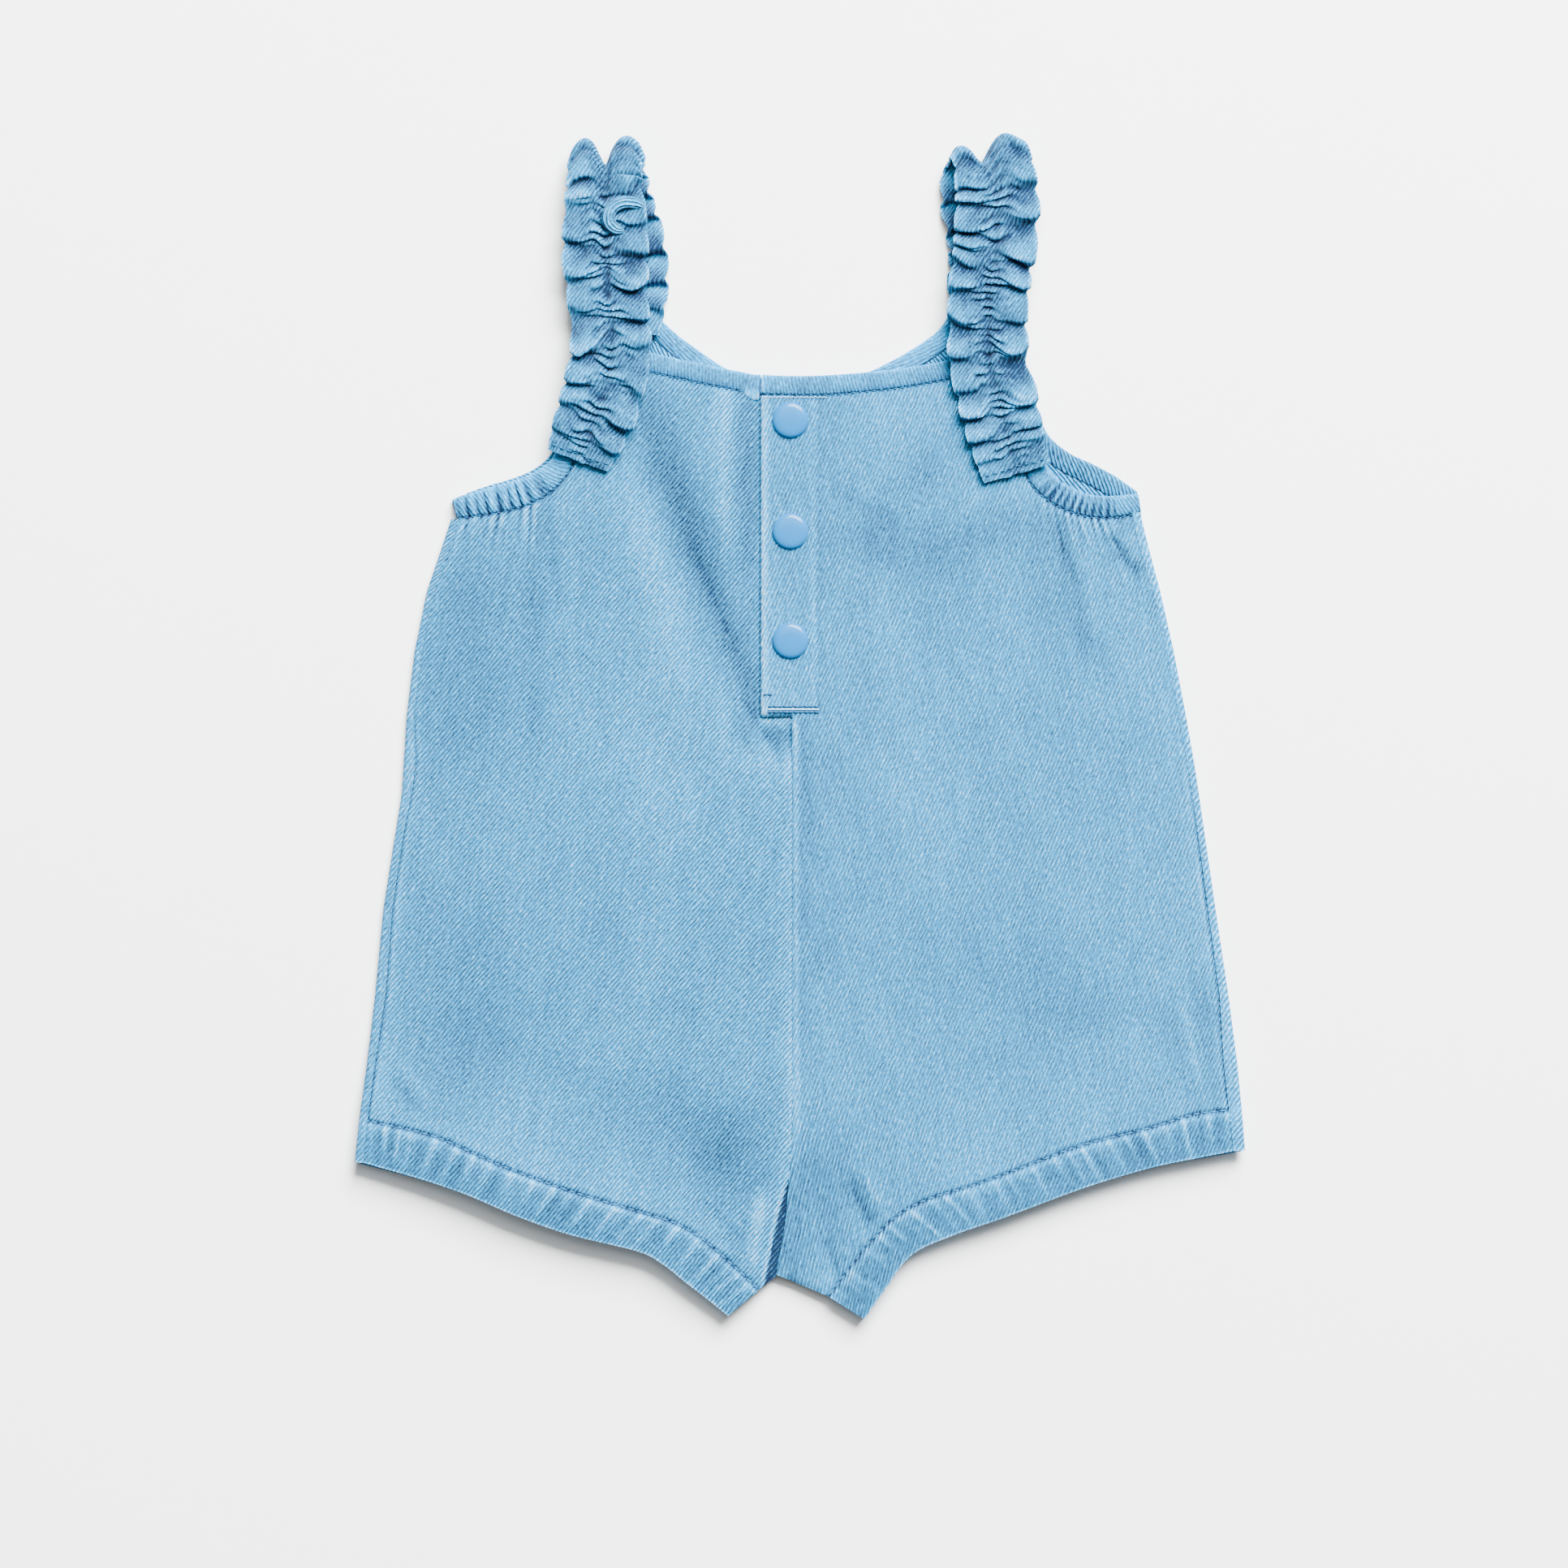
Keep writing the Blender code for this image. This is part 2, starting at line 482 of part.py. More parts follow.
def back_panel(name, side):
    """A back half, flat on the table, that turns up round the side and meets the front's edge."""
    top = back_top(side)
    inseam_columns = 1
    plan, hem_start, lower = stacked_panel(side, top, inseam_columns, False, BACK_CHEST_ROWS, BACK_BODY_ROWS)
    thickness, lift = panel_heights(plan, hem_start, lower)
    kept = kept_cells(plan, hem_start, inseam_columns)
    plan[..., 0] += side * SEAM / 2 * (np.arange(plan.shape[1]) == 0)

    wall = thickness[:, -1]
    fold_x = plan[:, -1, 0].copy()
    fold_y = plan[:, -1, 1]
    space = read(SIDE_SPACE, fold_y)
    turn = (wall + space) / 2
    centre = fold_x - side * (turn + wall / 2)
    seam_x = side_points(side, fold_y, True)[:, 0] + side * BORDER
    plan[:, -1, 0] = centre
    middle = np.dstack([plan, lift + thickness / 2])
    facing = np.zeros_like(middle)
    facing[..., 2] = -1.0
    base = lift[:, -1] + wall / 2
    wraps = []
    normals = []
    for angle in np.radians(SIDE_TURN):
        out = math.sin(angle)
        up = -math.cos(angle)
        wraps.append(np.stack([centre + side * turn * out, fold_y, base + turn + turn * up], axis=1))
        normals.append(np.tile([side * out, 0.0, up], (len(base), 1)))
    leg = np.where(side * (seam_x - centre) < -0.2, seam_x, centre - side * 0.2)
    wraps.append(np.stack([leg, fold_y, base + 2 * turn], axis=1))
    normals.append(np.tile([0.0, 0.0, 1.0], (len(base), 1)))
    middle = np.concatenate([middle] + [column[:, None] for column in wraps], axis=1)
    facing = np.concatenate([facing] + [column[:, None] for column in normals], axis=1)
    wide = np.concatenate([thickness, np.repeat(wall[:, None], len(wraps), axis=1)], axis=1)
    kept = np.concatenate([kept, np.ones((kept.shape[0], len(wraps)), bool)], axis=1)
    outer = middle + facing * wide[..., None] / 2
    inner = middle - facing * wide[..., None] / 2
    return closed_wall(name, outer, inner, kept, DENIM)


def tape(name, line, width, low, height):
    """A binding: a soft-edged band carried along a line, with its own width, foot and height."""
    across, up = np.array(TAPE_SECTION).T
    along = np.gradient(line[:, :2], axis=0)
    along /= np.linalg.norm(along, axis=1)[:, None]
    normal = np.stack([-along[:, 1], along[:, 0]], axis=1)
    flat = line[:, None, :2] + normal[:, None] * (across[None, :] * np.reshape(width, (-1, 1)))[..., None]
    z = np.reshape(low, (-1, 1)) + up[None, :] * np.reshape(height, (-1, 1))
    points = np.dstack([flat, np.broadcast_to(z, flat.shape[:2])])
    count, ring = points.shape[:2]
    faces = []
    for station in range(count - 1):
        for corner in range(ring):
            after = (corner + 1) % ring
            here = station * ring
            faces.append([here + corner, here + after, here + ring + after, here + ring + corner])
    faces.append(list(range(ring)))
    faces.append([(count - 1) * ring + corner for corner in reversed(range(ring))])
    return add_object(name, points.reshape(-1, 3), faces, DENIM)


def neck_tapes():
    """Bindings of the front neck, parted at the placket, and of the back neck."""
    neck = curve(FRONT_NECK, np.linspace(0, 1, 80))
    left_x = np.linspace(neck[0, 0], PLACKET_EDGE_X - 2 * SEAM, 10)
    right_x = np.linspace(PLACKET_EDGE_X, neck[-1, 0], 14)
    left = np.stack([left_x, read(neck, left_x)], axis=1)
    right = np.stack([right_x, read(neck, right_x)], axis=1)
    level = BACK_TAPE + SEAM
    tape("neck_binding_front_left", left, NECK_WIDTH, level, FRONT_TAPE)
    low = level + (OVERLAP_LOW - level) * step_up(right[:, 0], 24.0, UNDERLAP_EDGE_X + 1.5)
    tape("neck_binding_front_right", right, NECK_WIDTH, low, FRONT_TAPE)
    tape("neck_binding_back", curve(BACK_NECK, np.linspace(0, 1, 30)), NECK_WIDTH, 0.0, BACK_TAPE)


def armhole_tape(name, rows, gathers, low, height, ripple):
    """A gathered armhole binding; its crests match the gathers of the panel below it."""
    fractions, wave = gather_stations(gathers)
    line = curve(rows, fractions)
    tape(name, line, line[:, 2] * (1 + 0.04 * wave), low, height + ripple * (wave - 1.0))


def strap(name, front_rows, back_rows, phases):
    """A ruffled strap in one wall: up the front, over the shoulder fold and down the back."""
    front = curve(front_rows, np.linspace(0, 1, 56))
    back = curve(back_rows, np.linspace(0, 1, 30))
    turn = (front[-1, 2] - back[0, 2]) / 2
    angles = np.radians(np.linspace(90, -90, 9))[1:-1]
    share = (1 - np.sin(angles)) / 2
    over = front[-1] + (back[0] - front[-1]) * share[:, None]
    over[:, 1] += turn * np.cos(angles)
    over[:, 2] = back[0, 2] + turn + turn * np.sin(angles)
    middle = np.vstack([front, over, back])
    steps = np.linalg.norm(np.diff(middle[:, :3], axis=0), axis=1)
    run = np.concatenate([[0], np.cumsum(steps)])
    apex = run[len(front) + len(over) // 2]

    along = np.gradient(middle[:, :3], run, axis=0)
    along /= np.linalg.norm(along, axis=1)[:, None]
    across = np.tile([1.0, 0.0, 0.0], (len(run), 1))
    plain = step_up(np.abs(run - apex), 6.0, 14.0)[:, None]
    heading = np.sign(along[:, 1:2]) * along
    turned = np.stack([heading[:, 1], -heading[:, 0], np.zeros(len(run))], axis=1)
    across = across * (1 - plain) + plain * turned
    across /= np.linalg.norm(across, axis=1)[:, None]
    facing = np.cross(across, along)
    facing /= np.linalg.norm(facing, axis=1)[:, None]

    calm = step_up(run, -3.0, RUFFLE_CALM) * step_up(run, run[-1] + 3.0, run[-1] - RUFFLE_CALM)
    share = np.array(STRAP_ACROSS)
    edge_phase = np.where(share < 0, phases[0], phases[1])
    turnover = 2 * np.pi * run / RUFFLE_PITCH + 0.9 * np.sin(2 * np.pi * run / (RUFFLE_PITCH * 6.3))
    wave = np.sin(turnover[:, None] + edge_phase[None, :])
    height = RUFFLE_HEIGHT * calm[:, None] * np.abs(share[None, :]) ** 1.3 * wave
    quarter = np.sin(turnover[:, None] + edge_phase[None, :] + 1.2)
    spread = share[None, :] * (middle[:, 3:4] + RUFFLE_SCALLOP * calm[:, None] * quarter)
    points = middle[:, None, :3] + across[:, None] * spread[..., None] + facing[:, None] * height[..., None]
    crest = CREST * np.exp(-(((run - apex) / 7.0) ** 2))
    points[..., 1] += crest[:, None] * np.abs(share[None, :]) ** 1.5
    outer = points + facing[:, None] * STRAP_CLOTH / 2
    inner = points - facing[:, None] * STRAP_CLOTH / 2
    kept = np.ones((len(run) - 1, len(share) - 1), bool)
    return closed_wall(name, outer, inner, kept, DENIM_DEEP)


def snap_cap(name, y):
    """A domed snap cap: a low crown with a rounded rim, closed underneath."""
    profile = SNAP_PROFILE
    sides = SNAP_SIDES
    angles = np.linspace(0, 2 * np.pi, sides, endpoint=False)
    foot = OVERLAP_LOW + CLOTH + SEAM
    points = [(SNAP_X, y, foot + SNAP_HEIGHT)]
    for reach, rise in profile[1:]:
        ring = reach * SNAP_RADIUS
        level = foot + rise * SNAP_HEIGHT
        points += [(SNAP_X + ring * math.cos(a), y + ring * math.sin(a), level) for a in angles]
    faces = [[0, 1 + k, 1 + (k + 1) % sides] for k in range(sides)]
    for ring in range(len(profile) - 2):
        first = 1 + ring * sides
        for k in range(sides):
            after = (k + 1) % sides
            faces.append([first + k, first + sides + k, first + sides + after, first + after])
    faces.append([1 + (len(profile) - 2) * sides + k for k in range(sides)])
    return add_object(name, points, faces, SNAP_PAINT, roughness=0.3, sharp=50.0)


def main():
    for piece in list(bpy.data.objects):
        bpy.data.objects.remove(piece, do_unlink=True)
    front_panel("front_panel_left", -1)
    front_panel("front_panel_right", 1)
    back_panel("back_panel_left", -1)
    back_panel("back_panel_right", 1)
    neck_tapes()
    level = BACK_TAPE + SEAM
    armhole_tape("armhole_binding_front_left", FRONT_ARMHOLE_LEFT, GATHERS_LEFT, level, FRONT_TAPE, 0.3)
    armhole_tape("armhole_binding_front_right", FRONT_ARMHOLE_RIGHT, GATHERS_RIGHT, level, FRONT_TAPE, 0.3)
    armhole_tape("armhole_binding_back_left", BACK_ARMHOLE_LEFT, GATHERS_LEFT, 0.0, BACK_TAPE, 0.15)
    armhole_tape("armhole_binding_back_right", BACK_ARMHOLE_RIGHT, GATHERS_RIGHT, 0.0, BACK_TAPE, 0.15)
    strap("strap_left", STRAP_LEFT_FRONT, STRAP_LEFT_BACK, (0.4, 2.1))
    strap("strap_right", STRAP_RIGHT_FRONT, STRAP_RIGHT_BACK, (1.5, 3.6))
    for name, y in SNAPS:
        snap_cap(name, y)


main()
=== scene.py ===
import math

import bpy
import numpy as np
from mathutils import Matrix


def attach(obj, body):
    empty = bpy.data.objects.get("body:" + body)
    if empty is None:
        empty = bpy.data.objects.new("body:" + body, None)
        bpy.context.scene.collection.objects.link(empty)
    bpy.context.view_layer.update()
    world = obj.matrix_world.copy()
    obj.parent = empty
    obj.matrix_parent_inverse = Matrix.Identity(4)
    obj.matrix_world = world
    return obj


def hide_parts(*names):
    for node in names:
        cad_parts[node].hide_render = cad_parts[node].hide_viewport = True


# Denim romper laid flat. Lengths are millimetres until a mesh is made, x to the right, y up to the straps.
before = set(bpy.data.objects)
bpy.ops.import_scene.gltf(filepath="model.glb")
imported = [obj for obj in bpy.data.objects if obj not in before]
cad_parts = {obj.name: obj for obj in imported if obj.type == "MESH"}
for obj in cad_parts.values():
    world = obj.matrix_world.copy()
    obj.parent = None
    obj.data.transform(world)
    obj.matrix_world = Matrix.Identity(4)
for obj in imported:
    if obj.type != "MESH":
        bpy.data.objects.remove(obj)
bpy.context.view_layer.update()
print("frame loaded with", len(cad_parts), "nodes")

mm = 0.001
uvPerMm = 0.01  # the cloth maps run 100 mm to one unit


def linearColour(hexText):
    # sRGB hex to the linear values that shaders take
    parts = [int(hexText[i : i + 2], 16) / 255 for i in (1, 3, 5)]
    return (*(c / 12.92 if c <= 0.04045 else ((c + 0.055) / 1.055) ** 2.4 for c in parts), 1.0)


def smoothStep(value, low, high):
    # 0 at low, 1 at high, smooth between; low may be above high
    t = np.clip((value - low) / (high - low), 0, 1)
    return t * t * (3 - 2 * t)


def readTable(table, at, column=1):
    # a table's column, read at values of its first column
    rows = np.asarray(table, float)
    rows = rows[np.argsort(rows[:, 0])]
    return np.interp(at, rows[:, 0], rows[:, column])


def curveThrough(rows, shares):
    # Catmull-Rom curve through the rows, read at shares of its length in plan
    rows = np.asarray(rows, float)
    ends = np.vstack([2 * rows[0] - rows[1], rows, 2 * rows[-1] - rows[-2]])
    t = np.linspace(0, 1, 16, endpoint=False)[None, :, None]
    a, b, c, d = (ends[i : len(ends) - 3 + i, None] for i in range(4))
    cubic = 2 * b + (c - a) * t + (2 * a - 5 * b + 4 * c - d) * t**2 + (3 * b - a - 3 * c + d) * t**3
    dense = np.vstack([(cubic / 2).reshape(-1, rows.shape[1]), rows[-1:]])
    length = np.concatenate([[0], np.cumsum(np.linalg.norm(np.diff(dense[:, :2], axis=0), axis=1))])
    return np.stack([np.interp(shares, length / length[-1], column) for column in dense.T], axis=1)


def runAlong(points):
    # distance along a line of points, from its first point
    steps = np.linalg.norm(np.diff(points, axis=0), axis=-1)
    return np.concatenate([np.zeros_like(steps[:1]), np.cumsum(steps, axis=0)])


def unit(vectors):
    # each vector divided by its own length
    return vectors / np.maximum(np.linalg.norm(vectors, axis=-1, keepdims=True), 1e-9)


def leftOf(line):
    # unit vectors in plan, square to a line of points and to the left of its direction
    along = unit(np.gradient(line[:, :2], axis=0))
    return np.stack([-along[:, 1], along[:, 0]], axis=1)


def sideways(line, distance):
    # the line in plan, moved by a distance to its left
    return line[:, :2] + leftOf(line) * np.reshape(distance, (-1, 1))


def turned(x, y, angle):
    # plan coordinates turned by an angle in radians
    cosine, sine = math.cos(angle), math.sin(angle)
    return np.stack([x * cosine - y * sine, x * sine + y * cosine], axis=-1)


def bell(distance, width):
    # 1 in the middle and fading on both sides: the exponential of minus the square of distance over width
    return np.exp(-((distance / width) ** 2))


def softNoise(x, y, size, seed):
    # smooth random heights from -1 to 1: values on a lattice of that size, blended by smooth steps
    lattice = np.random.default_rng(seed).uniform(-1, 1, (128, 128))
    gridX, gridY = x / size + 640.0, y / size + 640.0
    cellX, cellY = np.floor(gridX).astype(int), np.floor(gridY).astype(int)
    fx, fy = smoothStep(gridX - cellX, 0, 1), smoothStep(gridY - cellY, 0, 1)
    left, right, low, high = cellX % 128, (cellX + 1) % 128, cellY % 128, (cellY + 1) % 128
    near = lattice[left, low] * (1 - fx) + lattice[right, low] * fx
    far = lattice[left, high] * (1 - fx) + lattice[right, high] * fx
    return near * (1 - fy) + far * fy


def blurred(grid, passes):
    # each pass averages a grid with its neighbours along both directions
    for _ in range(passes):
        wide = np.pad(grid, 1, mode="edge")
        grid = (wide[:-2, 1:-1] + wide[2:, 1:-1] + wide[1:-1, :-2] + wide[1:-1, 2:] + 2 * grid) / 6
    return grid


# Materials


def addNode(tree, kind, inputs=None, output=0, **settings):
    made = tree.nodes.new(kind)
    for name, value in settings.items():
        setattr(made, name, value)
    for socket, value in (inputs or {}).items():
        if isinstance(value, bpy.types.NodeSocket):
            tree.links.new(value, made.inputs[socket])
        else:
            made.inputs[socket].default_value = value
    return made.outputs[output]


def newMaterial(name):
    material = bpy.data.materials.new(name)
    material.use_nodes = True
    return material, material.node_tree, material.node_tree.nodes["Principled BSDF"]


def setFinish(shader, finish):
    for socket, value in finish.items():
        shader.inputs[socket].default_value = value


def denimTwill(name, look):
    # Light-wash cotton twill: blue warp floats in slanting lines over a white weft. It gives the eye
    # broken diagonal lines, soft clouds and streaks from the wash, and pale ridges where it rubbed.
    # Its tone attribute also carries painted light on ridges and painted shade in creases, hollows, seams and
    # under flaps.
    material, tree, shader = newMaterial(name)
    clothMap = addNode(tree, "ShaderNodeUVMap", uv_map="cloth")
    toMm = (1 / uvPerMm,) * 3
    turn = (0, 0, -math.radians(look["waleAngle"]))
    maps = {
        "cloth": addNode(tree, "ShaderNodeMapping", {"Vector": clothMap, "Scale": toMm}),
        "wale": addNode(tree, "ShaderNodeMapping", {"Vector": clothMap, "Scale": toMm, "Rotation": turn}),
    }
    # each layer is noise stretched to its own width and length, added to the tone by its contrast
    tone, drawn = look["level"], {}
    for layer, (along, size, detail, contrast) in look["layers"].items():
        spot = addNode(
            tree, "ShaderNodeMapping", {"Vector": maps[along], "Scale": (1 / size[0], 1 / size[1], 1.0)}
        )
        drawn[layer] = addNode(
            tree, "ShaderNodeTexNoise", {"Vector": spot, "Scale": 1.0, "Detail": detail}, noise_dimensions="2D"
        )
        tone = addNode(
            tree, "ShaderNodeMath", {0: drawn[layer], 1: contrast, 2: tone}, operation="MULTIPLY_ADD"
        )
    across = addNode(tree, "ShaderNodeSeparateXYZ", {"Vector": maps["wale"]}, output="Y")
    swayed = addNode(tree, "ShaderNodeMath", {0: drawn["sway"], 1: look["waleSway"]}, operation="MULTIPLY")
    turns = 2 * math.pi / look["walePitch"]
    phase = addNode(tree, "ShaderNodeMath", {0: across, 1: turns, 2: swayed}, operation="MULTIPLY_ADD")
    wales = addNode(tree, "ShaderNodeMath", {0: phase}, operation="SINE")
    contrast = look["waleContrast"]
    tone = addNode(tree, "ShaderNodeMath", {0: wales, 1: contrast, 2: tone}, operation="MULTIPLY_ADD")
    # the tone attribute adds rubbed pale edges together with painted light and painted shade
    wearAndShade = addNode(tree, "ShaderNodeAttribute", output="Fac", attribute_name="wearAndShade")
    contrast = look["wearAndShadeContrast"]
    tone = addNode(tree, "ShaderNodeMath", {0: wearAndShade, 1: contrast, 2: tone}, operation="MULTIPLY_ADD")
    ramp = tree.nodes.new("ShaderNodeValToRGB")
    tree.links.new(tone, ramp.inputs["Fac"])
    stops = ramp.color_ramp.elements
    for index, (place, colour) in enumerate(look["ramp"]):
        stop = stops[index] if index < 2 else stops.new(place)
        stop.position = place
        stop.color = linearColour(colour)
    relief = addNode(
        tree, "ShaderNodeMath", {0: wales, 1: look["waleRelief"], 2: drawn["floats"]}, operation="MULTIPLY_ADD"
    )
    bump = addNode(
        tree, "ShaderNodeBump",
        {"Strength": look["bump"], "Distance": look["yarnHeight"] * mm, "Height": relief},
        output="Normal",
    )
    tree.links.new(ramp.outputs["Color"], shader.inputs["Base Color"])
    tree.links.new(bump, shader.inputs["Normal"])
    setFinish(shader, cottonFinish)
    return material


# Cotton fibres scatter light: matt, with a faint sheen of loose fibre ends
cottonFinish = {
    "Roughness": 0.95, "IOR": 1.5, "Specular IOR Level": 0.08, "Sheen Weight": 0.03, "Sheen Roughness": 0.5,
}
# The base colours are deep because the table is lit almost to white, and the view transform
# takes colour out of bright tones.
bodyLook = {
    "waleAngle": 58.4,  # degrees from the weft
    "walePitch": 1.15,  # the real twill lines are 0.97 mm apart; drawn coarser so that they show
    "waleContrast": 0.16,
    "waleSway": 4.5,  # how far the twill lines wander, in radians of their own pitch
    "waleRelief": 2.6,  # height of the twill lines against that of the floats
    "yarnHeight": 0.1,
    # name: map it follows, its length and width in millimetres, detail, contrast
    "layers": {
        "sway": ("wale", (6.0, 2.6), 2.0, 0.0),  # moves the lines, and adds no tone of its own
        "floats": ("wale", (1.6, 0.55), 2.0, 0.76),  # each warp float is a short dash
        "grit": ("wale", (0.55, 0.45), 1.0, 0.4),
        "slubs": ("cloth", (1.2, 22.0), 2.0, 0.2),  # uneven warp yarns, straight down the cloth
        "clouds": ("cloth", (9.0, 16.0), 3.0, 0.1),
        "wash": ("cloth", (34.0, 60.0), 1.0, 0.12),
    },
    # tone per unit of the attribute of rubbed edges, painted light and painted shade
    "wearAndShadeContrast": 0.26,
    "level": -0.255,
    "bump": 1.0,
    "ramp": (
        (0.0, "#0A233F"), (0.1, "#173D60"), (0.28, "#245779"), (0.39, "#23638C"), (0.5, "#0F74A6"),
        (0.61, "#1F82B8"), (0.76, "#3C9BD2"), (1.0, "#8DB9D9"),
    ),
}
# the gathered straps take a darker level: painted shade of their deep gathers
strapLook = dict(bodyLook, level=-0.465, wearAndShadeContrast=0.27)
# folded tape shows its twill less than its gathers
tapeLook = dict(bodyLook, waleContrast=0.08, level=-0.34, bump=0.4)


def paintedMetal(name, look):
    # Brass snap cap under baked enamel: smooth and even, with a soft highlight on the rim
    material, tree, shader = newMaterial(name)
    place = addNode(tree, "ShaderNodeTexCoord", output="Object")
    peel = addNode(tree, "ShaderNodeTexNoise", {"Vector": place, "Scale": 900.0, "Detail": 2.0})
    tint = addNode(
        tree, "ShaderNodeMix", {"Factor": peel, 6: linearColour(look["deep"]), 7: linearColour(look["light"])},
        output=2, data_type="RGBA",
    )
    bump = addNode(
        tree, "ShaderNodeBump", {"Strength": 0.03, "Distance": 0.1 * mm, "Height": peel}, output="Normal"
    )
    tree.links.new(tint, shader.inputs["Base Color"])
    tree.links.new(bump, shader.inputs["Normal"])
    setFinish(shader, {"Roughness": 0.17, "IOR": 1.5, "Specular IOR Level": 0.25})
    return material


def sewingThread(name, look):
    # Spun polyester thread, twisted from plies: matt, with fine light and dark flecks
    material, tree, shader = newMaterial(name)
    place = addNode(tree, "ShaderNodeTexCoord", output="Object")
    plies = addNode(tree, "ShaderNodeTexNoise", {"Vector": place, "Scale": 2600.0, "Detail": 1.0})
    tint = addNode(
        tree, "ShaderNodeMix", {"Factor": plies, 6: linearColour(look["deep"]), 7: linearColour(look["light"])},
        output=2, data_type="RGBA",
    )
    tree.links.new(tint, shader.inputs["Base Color"])
    setFinish(shader, {"Roughness": 0.8, "Specular IOR Level": 0.15})
    return material


materials = {
    "body": denimTwill("light_wash_denim_twill", bodyLook),
    "strap": denimTwill("light_wash_denim_twill_gathered_shaded", strapLook),
    "tape": denimTwill("light_wash_denim_twill_tape", tapeLook),
    "snap": paintedMetal("enamelled_snap_cap", {"deep": "#005E97", "light": "#0166A0"}),
    "thread": sewingThread("spun_sewing_thread", {"deep": "#225882", "light": "#347DAB"}),
    "threadPale": sewingThread("spun_sewing_thread_bleached", {"deep": "#3C9BD2", "light": "#B4CFDF"}),
    "threadDark": sewingThread("spun_sewing_thread_shaded", {"deep": "#123B5E", "light": "#2A6796"}),
}


# Meshes


def makePiece(name, points, faces, material, uv=None, wearAndShade=None, sharp=None):
    # points in millimetres and faces of any size, as one mesh at the origin
    mesh = bpy.data.meshes.new(name)
    mesh.from_pydata((np.asarray(points) * mm).tolist(), [], [list(face) for face in faces])
    if uv is not None:
        corner = np.zeros(len(mesh.loops), int)
        mesh.loops.foreach_get("vertex_index", corner)
        layer = mesh.uv_layers.new(name="cloth")
        layer.data.foreach_set("uv", (np.asarray(uv)[corner] * uvPerMm).astype(np.float32).ravel())
    # a tone per point: rubbed pale edges, with painted light and painted shade
    if wearAndShade is not None:
        attribute = mesh.attributes.new("wearAndShade", "FLOAT", "POINT")
        attribute.data.foreach_set("value", np.asarray(wearAndShade, np.float32).ravel())
    mesh.shade_smooth()
    if sharp:
        mesh.set_sharp_from_angle(angle=math.radians(sharp))
    mesh.materials.append(materials[material])
    mesh.validate()
    piece = bpy.data.objects.new(name, mesh)
    bpy.context.collection.objects.link(piece)
    return piece


def standFor(piece, node):
    # the piece rides on the only body and is shown in place of a node of the solid part
    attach(piece, "root")
    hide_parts(node)


def tubeFaces(rows, ring):
    # four-sided faces that join each ring of points to the next, and the two end rings
    start, here = np.arange(rows - 1)[:, None] * ring, np.arange(ring)[None]
    after = (here + 1) % ring
    quads = np.stack([start + here, start + after, start + ring + after, start + ring + here], axis=2)
    return quads.reshape(-1, 4), list(range(ring)), [(rows - 1) * ring + i for i in range(ring)]


def wallBetween(outer, inner, kept):
    # faces of a closed wall between two grids of points: both sides and the rim of the kept cells
    index = np.arange(kept.size + kept.shape[0] + kept.shape[1] + 1).reshape(kept.shape[0] + 1, -1)
    row, column = np.nonzero(kept)
    cells = np.stack(
        [index[row, column], index[row, column + 1], index[row + 1, column + 1], index[row + 1, column]], axis=1
    )
    top = outer.reshape(-1, 3)
    facing = np.cross(top[cells[:, 2]] - top[cells[:, 0]], top[cells[:, 3]] - top[cells[:, 1]])
    outwards = (facing * (top - inner.reshape(-1, 3))[cells[:, 0]]).sum()
    if outwards < 0:
        cells = cells[:, ::-1]
    start, end = cells.ravel(), np.roll(cells, -1, axis=1).ravel()
    rim = ~np.isin(start * index.size + end, end * index.size + start)
    start, end = start[rim], end[rim]
    under = cells[:, ::-1] + index.size
    sides = np.stack([end, start, start + index.size, end + index.size], axis=1)
    return np.vstack([top, inner.reshape(-1, 3)]), np.vstack([cells, under, sides])


def clothPiece(name, outer, inner, kept, material, uv, wearAndShade, replaced, rolls=()):
    # a closed wall of cloth between two faces, with any curled flaps joined to its mesh
    points, faces = wallBetween(outer, inner, kept)
    uv, wearAndShade, faces = np.tile(uv.reshape(-1, 2), (2, 1)), np.tile(wearAndShade.ravel(), 2), faces.tolist()
    for rollPoints, rollFaces, rollUv, rollWear in rolls:
        faces += [[corner + len(points) for corner in face] for face in rollFaces]
        points, uv = np.vstack([points, rollPoints]), np.vstack([uv, rollUv])
        wearAndShade = np.concatenate([wearAndShade, rollWear])
    piece = makePiece(name, points, faces, material, uv, wearAndShade, 50)
    standFor(piece, replaced)
    print(name, "made with", len(faces), "faces")


# The cut: lines that the panels share


